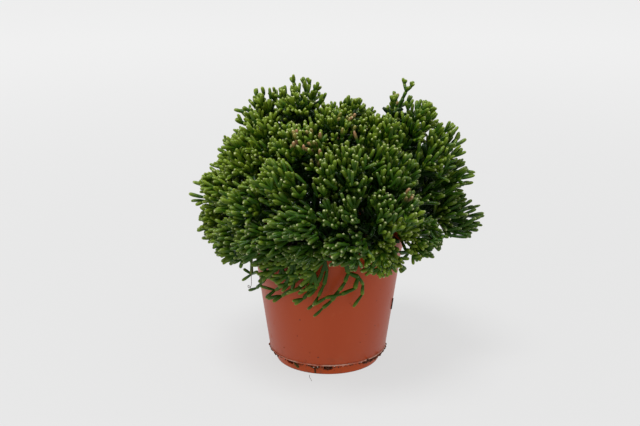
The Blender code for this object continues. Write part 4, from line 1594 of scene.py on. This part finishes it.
@dataclass
class NurseryPot:
    """The moulded pot: stepped-in foot with drain slots, beaded edge, tapering wall, collar and rim."""

    shape: PotShape
    finish: PotPlastic
    sides: int = 160
    arc_steps: int = 6
    smooth_under: float = 32
    edge_round: float = 0.0006
    foot_round: float = 0.0011
    foot_lip: float = 0.0003
    foot_side: float = 0.0012
    groove_depth: float = 0.0006
    groove_round: float = 0.0005
    bead_tuck: float = 0.35
    bead_drop: float = 0.0001
    bead_rise: float = 0.0016
    bead_flare: float = 0.00018
    collar_ease: Band = (0.0014, 0.0005)
    collar_lip: float = 0.0001
    collar_round: float = 0.0005
    inner_round: float = 0.0015
    slot_depth: float = 4
    slot_round: float = 0.0009

    def build(self) -> bpy.types.Object:
        """Builds the pot.

        Returns:
            The pot, which stands for its solid.
        """
        pot = EditDesk.turn_up("moulded_pot", self._outline(), self.sides)
        cutter = self._slot_cutter()
        EditDesk.apply(pot, "BOOLEAN", object=cutter, operation="DIFFERENCE", solver="EXACT")
        bpy.data.objects.remove(cutter)
        bpy.ops.object.shade_smooth_by_angle(angle=math.radians(self.smooth_under))
        pot.data.materials.append(self.finish.material())
        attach(pot, BODY)
        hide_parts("pot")
        return pot

    def _foot(self) -> Outline:
        """Draws the foot and the groove over it.

        Returns:
            The outline, from the edge of the underside out to the wall's lower edge.
        """
        s = self.shape
        foot_side = s.foot_radius + s.foot_draft
        groove = s.wall_foot - self.groove_depth
        return [
            (s.foot_radius - self.foot_round, 0.0),
            (s.foot_radius - self.foot_lip, self.foot_lip),
            (s.foot_radius, self.foot_side),
            (foot_side, s.wall_foot - self.foot_side),
            (foot_side + self.groove_round, groove),
            (s.wall_foot_radius - self.foot_side, groove),
        ]

    def _half_turn(self, middle: tuple[float, float], out: float, up: float, first: float) -> Outline:
        """Draws half a turn round a middle.

        Args:
            middle: The middle, as radius and height.
            out: How far out the turn goes from it.
            up: How far up it goes.
            first: Where it starts, in degrees from outwards towards up.

        Returns:
            The outline along it.
        """
        outline = []
        for i in range(self.arc_steps + 1):
            turn = math.radians(first + 180 * i / self.arc_steps)
            outline.append((middle[0] + out * math.cos(turn), middle[1] + up * math.sin(turn)))
        return outline

    def _collar(self, base: float, under: float) -> Outline:
        """Draws the wall's bead and its way up to the collar.

        Args:
            base: The height of the collar's lower edge.
            under: The radius of the wall under it.

        Returns:
            The outline, from the bead to the collar's side.
        """
        s = self.shape
        ease_from, ease_to = self.collar_ease
        bead = (s.wall_foot_radius - s.bead * self.bead_tuck, s.wall_foot - self.bead_drop + s.bead)
        return self._half_turn(bead, s.bead, s.bead, -90) + [
            (s.wall_foot_radius + self.bead_flare, s.wall_foot + self.bead_rise),
            (under - self.collar_lip, base - ease_from),
            (under + self.collar_lip, base - ease_to),
            (s.wall_radius(base) - 2 * self.collar_lip, base - self.collar_lip),
            (s.wall_radius(base), base + self.collar_round),
        ]

    def _outline(self) -> Outline:
        """Draws the pot.

        Returns:
            The outline, from the edge of its underside over the rim to its inner floor.
        """
        s = self.shape
        base = s.height - s.collar_height
        under = s.wall_radius(base) - s.collar_step
        inner_foot = s.foot_radius - s.wall - s.inner_draft
        rim = (s.rim_radius - s.wall / 2, s.height - self.edge_round)
        outside = self._foot() + self._collar(base, under)
        inside = [
            (under - s.wall, base + self.collar_round),
            (s.wall_foot_radius - s.wall, s.wall_foot + s.wall),
            (inner_foot + s.foot_draft, s.wall_foot),
            (inner_foot, s.floor + self.inner_round),
            (inner_foot - self.inner_round, s.floor),
        ]
        return outside + self._half_turn(rim, s.wall / 2, self.edge_round, 0) + inside

    def _slot_cutter(self) -> bpy.types.Object:
        """Models what the drain slots are cut with.

        Returns:
            One object that holds a round-cornered bar for each slot.
        """
        s = self.shape
        middle = (s.slot_low + s.slot_high) / 2
        bars = []
        for i in range(s.drain_slots):
            azimuth = math.radians(-90 + i * 360 / s.drain_slots)
            EditDesk.start_fresh()
            bpy.ops.mesh.primitive_cube_add(
                size=1.0, rotation=(0.0, 0.0, azimuth),
                location=(s.foot_radius * math.cos(azimuth), s.foot_radius * math.sin(azimuth), middle))
            bar = bpy.context.object
            bar.scale = (self.slot_depth * s.wall, s.slot_width, s.slot_high - s.slot_low)
            EditDesk.settle(bar, f"slot_bar_{i + 1}")
            EditDesk.apply(bar, "BEVEL", width=self.slot_round, segments=3)
            bars.append(bar)
        EditDesk.start_fresh()
        for bar in bars:
            bar.select_set(True)
        bpy.context.view_layer.objects.active = bars[0]
        bpy.ops.object.join()
        return bars[0]


@dataclass
class RootBall:
    """The peat: a root ball that fills the pot, with a crumbly, uneven top."""

    shape: PotShape
    finish: Peat
    sides: int = 96
    gap: float = 0.0003
    edge_round: float = 0.002
    crown: float = 0.0015
    top_rings: int = 26
    relief: float = 0.0016
    crumb_lift: float = 0.4
    crumbly_from: float = 0.0005
    crumbly_to: float = 0.985
    seed: int = 5

    def build(self) -> bpy.types.Object:
        """Builds the root ball.

        Returns:
            The ball, which stands for its solid.
        """
        s = self.shape
        inner_foot = s.foot_radius - s.wall - s.inner_draft - self.gap
        top_radius = s.wall_radius(s.soil_level) - s.collar_step - s.wall - 2 * self.gap
        outline = [
            (inner_foot - s.foot_draft - self.edge_round, s.floor + self.gap),
            (inner_foot - s.foot_draft, s.floor + self.edge_round),
            (inner_foot, s.wall_foot + self.gap),
            (s.wall_foot_radius - s.wall - self.gap, s.wall_foot + s.wall + 2 * self.gap),
            (top_radius, s.soil_level - self.edge_round),
        ]
        for i in range(self.top_rings):
            share = 1 - i / self.top_rings
            outline.append((top_radius * share, s.soil_level + self.crown * (1 - share * share)))
        ball = EditDesk.turn_up("peat_root_ball", outline, self.sides)
        self._crumble(ball, top_radius)
        ball.data.shade_smooth()
        ball.data.materials.append(self.finish.material())
        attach(ball, BODY)
        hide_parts("potting_soil")
        return ball

    def _crumble(self, ball: bpy.types.Object, top_radius: float) -> None:
        """Raises and sinks the top's corners like crumbs.

        Args:
            ball: The root ball.
            top_radius: The radius of its top.
        """
        rng = random.Random(self.seed)
        for corner in ball.data.vertices:
            radius = math.hypot(corner.co.x, corner.co.y)
            on_top = corner.co.z > self.shape.soil_level - self.crumbly_from
            if on_top and radius < top_radius * self.crumbly_to:
                corner.co.z += rng.gauss(0, self.crumb_lift) * self.relief
                corner.co.x += rng.uniform(-self.crumb_lift, self.crumb_lift) * self.relief
                corner.co.y += rng.uniform(-self.crumb_lift, self.crumb_lift) * self.relief


@dataclass(frozen=True)
class SoilStreak:
    """Crumbs of soil that stick in the groove under the wall's edge.

    They lie between two azimuths in degrees. The size of the largest and their heights are in metres.
    """

    first: float
    last: float
    crumbs: int
    size: float
    low: float
    high: float


@dataclass(frozen=True)
class Root:
    """A hair-like root: its name, its way in mm and its radius in metres."""

    name: str
    way: tuple[tuple[float, float, float], ...]
    radius: float


@dataclass
class Litter:
    """Small things on the pot: soil in the groove, shed bits, grains, a dry flake and hair-like roots.

    A place by the foot is an azimuth in degrees, a distance from the pot's middle and a height in metres.
    """

    mould: SegmentMould
    seed: int = 3

    # Soil: one crumb's shape, the crumbs in the groove, the one at the front and the specks on the wall
    crumb_pull: float = 0.28
    crumb_pull_seed: int = 4
    streaks: tuple[SoilStreak, ...] = (
        SoilStreak(-52, -2, 92, 0.0017, 0.0052, 0.0092),
        SoilStreak(-181, -153, 40, 0.0015, 0.0050, 0.0088),
        SoilStreak(-152, -52, 60, 0.0008, 0.0072, 0.0089),
        SoilStreak(-95, -85, 12, 0.0012, 0.0046, 0.0074),
    )
    groove_radius: float = 0.0424
    groove_height: float = 0.0056
    crumb_length: Band = (0.35, 1.0)
    crumb_width: Band = (0.5, 1.0)
    crumb_depth: Band = (0.5, 0.9)
    crumb_out: float = 0.4
    crumb_tilt: float = 60
    front_crumb: tuple[float, float, float] = (-90, 0.0428, 0.0080)
    front_crumb_size: tuple[float, float, float] = (0.0025, 0.0010, 0.0008)
    specks: tuple[tuple[float, float], ...] = (
        (-72.5, 62), (-71, 60), (-135.5, 19), (-107, 20), (-118, 33), (-60, 27))
    speck_size: tuple[float, float, float] = (0.00042, 0.0003, 0.0002)
    off_wall: float = 0.05

    # Pale grains, as azimuth and height in mm, and one lower down
    grains: tuple[tuple[float, float], ...] = (
        (-84, 9.6), (-76, 8.9), (-70.5, 10.2), (-100, 8.6), (-57, 9.4))
    grain_size: Band = (0.0004, 0.0007)
    grain_off: float = 0.0004
    low_grain: tuple[float, float, float] = (-104.5, 0.0443, 0.0072)
    low_grain_size: float = 0.0007

    # A shed segment, and a dry twig whose prongs are given by azimuth, height and radius
    shed_from: tuple[float, float, float] = (-128, 0.0435, 0.0082)
    shed_to: tuple[float, float, float] = (-121, 0.0437, 0.0040)
    shed_radius: float = 0.0011
    shed_roughness: float = 0.5
    knot: tuple[float, float, float] = (-103.5, 0.0434, 0.0056)
    prongs: tuple[tuple[float, float, float], ...] = (
        (-112, 0.0084, 0.0007), (-98.5, 0.0072, 0.0008), (-103, 0.0018, 0.0008))

    # A dry flake on the wall, its tilt in degrees and its place by the wall in degrees and mm
    flake_size: tuple[float, float, float] = (0.0007, 0.0016, 0.0095)
    flake_tilt: tuple[float, float, float] = (6, 8.4, -14)
    flake_at: tuple[float, float] = (-14, 47)
    flake_round: float = 0.0003

    hanging_root: Root = Root("hanging_root", (
        (-50.5, -47.0, 106.0), (-55.5, -47.4, 97.0), (-57.6, -41.5, 90.0), (-56.8, -39.0, 84.0),
        (-58.2, -37.0, 77.0), (-57.2, -35.0, 71.0), (-59.6, -34.0, 66.5), (-61.4, -34.0, 69.5),
        (-59.8, -34.6, 71.5), (-58.6, -34.0, 68.0)), 0.00022)
    floor_root: Root = Root("root_on_floor", (
        (-14.2, -42.5, 0.3), (-14.6, -46.0, 0.4), (-13.6, -49.5, 0.3), (-12.4, -51.5, 0.6),
        (-12.6, -53.0, 0.3)), 0.00016)
    root_steps: int = 5
    root_weld: float = 0.00002

    def build(self) -> list[bpy.types.Object]:
        """Builds the small things.

        Returns:
            The pieces, gathered by what they are made of.
        """
        rng = random.Random(self.seed)
        crumb = self._crumb()
        return [self._soil(crumb, rng), self._grains(crumb, rng), self._shed_leaf(rng),
                self._dry_fork(rng), self._flake(), self._root(self.hanging_root),
                self._root(self.floor_root)]

    def _crumb(self) -> Casting:
        """Models one crumb from a ball whose corners are pulled about.

        Returns:
            Its casting.
        """
        EditDesk.start_fresh()
        bpy.ops.mesh.primitive_ico_sphere_add(subdivisions=1, radius=1.0)
        ball = bpy.context.object
        bpy.ops.object.mode_set(mode="EDIT")
        bpy.ops.mesh.select_all(action="SELECT")
        bpy.ops.transform.vertex_random(offset=self.crumb_pull, seed=self.crumb_pull_seed)
        bpy.ops.object.mode_set(mode="OBJECT")
        casting = Casting(np.array([corner.co[:] for corner in ball.data.vertices]),
                          tuple(tuple(face.vertices) for face in ball.data.polygons))
        bpy.data.objects.remove(ball)
        return casting

    @staticmethod
    def _by_foot(azimuth: float, radius: float, height: float) -> Point:
        """Returns a point from its azimuth, its distance from the pot's middle and its height."""
        return compass(azimuth) * radius + UP * height

    def _streak(self, soil: Gathering, streak: SoilStreak, crumb: Casting, rng: random.Random) -> None:
        """Adds the crumbs of one streak in the groove.

        Args:
            soil: What they are added to.
            streak: The streak.
            crumb: The shape of a crumb.
            rng: Source of their differences.
        """
        for i in range(streak.crumbs):
            azimuth = streak.first + (streak.last - streak.first) * (i + rng.random()) / streak.crumbs
            size = streak.size * rng.uniform(*self.crumb_length)
            height = rng.uniform(streak.low, streak.high)
            reach = self.groove_radius + (height - self.groove_height) + size * self.crumb_out
            way = compass(rng.uniform(0, 360), rng.uniform(-self.crumb_tilt, self.crumb_tilt))
            axes = np.array(frame_along(way, rng))
            sizes = np.array((1.0, rng.uniform(*self.crumb_width), rng.uniform(*self.crumb_depth))) * size
            soil.add(self._by_foot(azimuth, reach, height) + crumb.corners * sizes @ axes, crumb.faces)

    def _soil(self, crumb: Casting, rng: random.Random) -> bpy.types.Object:
        """Builds the soil in the groove, the specks on the wall and the flat crumb at the front.

        Args:
            crumb: The shape of a crumb.
            rng: Source of the differences.

        Returns:
            The piece.
        """
        soil = Gathering()
        for streak in self.streaks:
            self._streak(soil, streak, crumb, rng)
        for azimuth, height in self.specks:
            axes = np.array(frame_along(compass(azimuth), rng))
            spot = POT.by_wall(azimuth, height, self.off_wall)
            soil.add(spot + crumb.corners * self.speck_size @ axes, crumb.faces)
        axes = np.array((compass(0), UP, compass(-90)))
        spot = self._by_foot(*self.front_crumb)
        soil.add(spot + crumb.corners * self.front_crumb_size @ axes, crumb.faces)
        finish = DryBit("dried_peat", (0.230, 0.062, 0.026), (0.026, 0.013, 0.007))
        return soil.piece("groove_soil", finish.material(), "soil")

    def _grains(self, crumb: Casting, rng: random.Random) -> bpy.types.Object:
        """Builds the pale grains along the wall's lower edge.

        Args:
            crumb: The shape of a grain.
            rng: Source of their differences.

        Returns:
            The piece.
        """
        grains = Gathering()
        for azimuth, height in self.grains:
            axes = np.array(frame_along(compass(azimuth), rng))
            size = rng.uniform(*self.grain_size)
            spot = self._by_foot(azimuth, POT.wall_radius(height * MM) + self.grain_off, height * MM)
            grains.add(spot + crumb.corners * size @ axes, crumb.faces)
        grains.add(self._by_foot(*self.low_grain) + crumb.corners * self.low_grain_size, crumb.faces)
        finish = DryBit("pale_grit", (0.70, 0.60, 0.52), (0.42, 0.30, 0.24))
        return grains.piece("pale_grains", finish.material(), "soil")

    def _twig(self, twigs: Gathering, form: Form, ends: tuple[Point, Point], radius: float,
              rng: random.Random) -> None:
        """Adds a shed segment.

        Args:
            twigs: What it is added to.
            form: Its form.
            ends: The points that it goes from and to.
            radius: Its radius.
            rng: Source of its turn.
        """
        casting = self.mould.castings[form]
        start, end = ends
        length = float(np.linalg.norm(end - start))
        axes = np.array(frame_along(end - start, rng))
        twigs.add(start + casting.corners * (radius, radius, length) @ axes, casting.faces)

    def _shed_leaf(self, rng: random.Random) -> bpy.types.Object:
        """Builds the shed green-brown segment at the left of the foot.

        Args:
            rng: Source of its turn.

        Returns:
            The piece.
        """
        twigs = Gathering()
        ends = (self._by_foot(*self.shed_from), self._by_foot(*self.shed_to))
        self._twig(twigs, Form.CLUB, ends, self.shed_radius, rng)
        finish = DryBit("wilted_green", (0.125, 0.105, 0.014), (0.050, 0.032, 0.008), self.shed_roughness)
        return twigs.piece("shed_segment", finish.material(), "stem")

    def _dry_fork(self, rng: random.Random) -> bpy.types.Object:
        """Builds the dry forked twig in front.

        Args:
            rng: Source of its prongs' turns.

        Returns:
            The piece.
        """
        twigs = Gathering()
        _, out, _ = self.knot
        for azimuth, height, radius in self.prongs:
            ends = (self._by_foot(*self.knot), self._by_foot(azimuth, out, height))
            self._twig(twigs, Form.LINK, ends, radius, rng)
        finish = DryBit("dry_brown_twig", (0.120, 0.046, 0.014), (0.034, 0.014, 0.005))
        return twigs.piece("dry_fork", finish.material(), "stem")

    def _flake(self) -> bpy.types.Object:
        """Builds the thin dry flake on the right of the wall.

        Returns:
            The piece.
        """
        EditDesk.start_fresh()
        bpy.ops.mesh.primitive_cube_add(size=1.0)
        flake = bpy.context.object
        flake.scale = self.flake_size
        flake.rotation_euler = tuple(math.radians(turn) for turn in self.flake_tilt)
        flake.location = tuple(POT.by_wall(*self.flake_at, self.off_wall))
        EditDesk.settle(flake, "dry_flake")
        EditDesk.apply(flake, "BEVEL", width=self.flake_round, segments=2)
        finish = DryBit("dry_skin", (0.060, 0.050, 0.036), (0.020, 0.015, 0.011))
        flake.data.materials.append(finish.material())
        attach(flake, BODY)
        return flake

    def _root(self, root: Root) -> bpy.types.Object:
        """Builds a hair-like root as a round string along its way.

        Args:
            root: The root.

        Returns:
            The piece.
        """
        EditDesk.start_fresh()
        bpy.ops.curve.primitive_nurbs_path_add()
        string = bpy.context.object
        path = string.data.splines[0]
        path.points.add(len(root.way) - len(path.points))
        for point, place in zip(path.points, root.way):
            point.co = (*(c * MM for c in place), 1.0)
        path.use_endpoint_u = True
        string.data.resolution_u = self.root_steps
        string.data.bevel_depth = root.radius
        string.data.bevel_resolution = 1
        string.data.use_fill_caps = True
        bpy.ops.object.convert(target="MESH")
        made = EditDesk.settle(bpy.context.object, root.name)
        bpy.ops.object.mode_set(mode="EDIT")
        bpy.ops.mesh.select_all(action="SELECT")
        bpy.ops.mesh.remove_doubles(threshold=self.root_weld)
        bpy.ops.mesh.normals_make_consistent(inside=False)
        bpy.ops.object.mode_set(mode="OBJECT")
        made.data.shade_smooth()
        finish = DryBit(root.name + "_skin", (0.210, 0.160, 0.120), (0.060, 0.040, 0.030))
        made.data.materials.append(finish.material())
        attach(made, BODY)
        return made


@dataclass(frozen=True)
class Lamp:
    """A round lamp that points at the plant, and whether it only makes glints."""

    name: str
    place: tuple[float, float, float]
    size: float
    power: float
    only_glints: bool = False


@dataclass(frozen=True)
class Studio:
    """Seamless pale sheet, soft even light and the camera."""

    paper: Colour = (0.11, 0.11, 0.11)
    paper_grain: float = 0.985
    grain_cells: float = 140.0
    near_glow: Colour = (0.655, 0.655, 0.655)
    far_glow: Colour = (0.785, 0.785, 0.785)
    far_from: float = 2.2
    sheet_side: float = 12.0
    sky: Colour = (1.0, 1.0, 1.0)
    sky_strength: float = 0.50
    backdrop: Colour = (0.868, 0.868, 0.868)
    lamps: tuple[Lamp, ...] = (
        Lamp("softbox_above", (-0.5, -0.5, 2.6), 1.2, 64.0),
        Lamp("glint_left", (-0.9, -0.9, 1.6), 0.22, 30.0, True),
        Lamp("glint_right", (0.9, -0.7, 1.8), 0.22, 22.0, True),
    )
    lit_point: tuple[float, float, float] = (0.0, 0.0, 0.1)
    camera_at: tuple[float, float, float] = (-0.0062, -0.7909, 0.3483)
    camera_tilt: float = 73.7
    lens: float = 60.0
    sensor: float = 36.0

    def build(self) -> None:
        """Sets up the sheet, the lights and the camera."""
        self._sheet()
        self._sky()
        for lamp in self.lamps:
            self._lamp(lamp)
        self._camera()

    def _sheet(self) -> None:
        """Lays the sheet, which glows a little, more so far off."""
        EditDesk.start_fresh()
        bpy.ops.mesh.primitive_plane_add(size=self.sheet_side, location=(0.0, 0.0, 0.0))
        sheet = EditDesk.settle(bpy.context.object, "paper_sheet")
        graph = Graph("pale_paper")
        grain = graph.noise(self.grain_cells, 3.0)
        shaded = tuple(self.paper_grain * c for c in self.paper)
        length = {"operation": "LENGTH"}
        away = graph.node("ShaderNodeVectorMath", length, {0: graph.place()}, output="Value")
        glow = graph.mix(away.step(0.0, self.far_from), self.near_glow, self.far_glow)
        sheet.data.materials.append(graph.finish(
            base_color=graph.mix(grain, self.paper, shaded), roughness=0.9, specular_ior_level=0.0,
            emission_color=glow, emission_strength=1.0))

    def _sky(self) -> None:
        """Sets an even bright world, which the camera sees as a paler backdrop."""
        world = bpy.data.worlds.new("white_tent")
        world.use_nodes = True
        nodes, links = world.node_tree.nodes, world.node_tree.links
        background = next(node for node in nodes if node.type == "BACKGROUND")
        background.inputs["Color"].default_value = (*self.sky, 1.0)
        background.inputs["Strength"].default_value = self.sky_strength
        backdrop = nodes.new("ShaderNodeBackground")
        backdrop.inputs["Color"].default_value = (*self.backdrop, 1.0)
        seen = nodes.new("ShaderNodeLightPath")
        either = nodes.new("ShaderNodeMixShader")
        output = next(node for node in nodes if node.type == "OUTPUT_WORLD")
        links.new(seen.outputs["Is Camera Ray"], either.inputs[0])
        links.new(background.outputs[0], either.inputs[1])
        links.new(backdrop.outputs[0], either.inputs[2])
        links.new(either.outputs[0], output.inputs["Surface"])
        bpy.context.scene.world = world

    def _lamp(self, lamp: Lamp) -> None:
        """Hangs up a lamp.

        Args:
            lamp: The lamp.
        """
        light = bpy.data.lights.new(lamp.name, "AREA")
        light.shape = "DISK"
        light.size = lamp.size
        light.energy = lamp.power
        holder = bpy.data.objects.new(lamp.name, light)
        holder.visible_diffuse = not lamp.only_glints
        holder.location = lamp.place
        aim = Vector(self.lit_point) - Vector(lamp.place)
        holder.rotation_euler = aim.to_track_quat("-Z", "Y").to_euler()
        bpy.context.scene.collection.objects.link(holder)

    def _camera(self) -> None:
        """Sets the camera where the photograph was taken from."""
        camera = bpy.data.cameras.new("camera")
        camera.lens = self.lens
        camera.sensor_width = self.sensor
        camera.sensor_fit = "HORIZONTAL"
        holder = bpy.data.objects.new("camera", camera)
        holder.location = self.camera_at
        holder.rotation_euler = (math.radians(self.camera_tilt), 0.0, 0.0)
        bpy.context.scene.collection.objects.link(holder)
        bpy.context.scene.camera = holder
        bpy.context.scene.view_settings.view_transform = "Standard"


def main() -> None:
    """Builds the looks in order: pot, peat, stems, small things, studio."""
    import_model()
    pot = NurseryPot(POT, PotPlastic()).build()
    LOG.info("pot: %d faces", len(pot.data.polygons))
    ball = RootBall(POT, Peat()).build()
    LOG.info("peat: %d faces", len(ball.data.polygons))
    mould = SegmentMould()
    builder = StemBuilder(mould, StemSkin().material())
    total = 0
    for stem in Cushion().grow():
        piece = builder.build(stem)
        piece.data.calc_loop_triangles()
        triangles = len(piece.data.loop_triangles)
        total += triangles
        LOG.info("%s: %d segments, %d triangles", piece.name, len(stem.points) - 1, triangles)
    LOG.info("stems: %d triangles in all", total)
    for piece in Litter(mould).build():
        LOG.info("%s: %d faces", piece.name, len(piece.data.polygons))
    Studio().build()


if __name__ == "__main__":
    logging.basicConfig(level=logging.INFO)
    main()
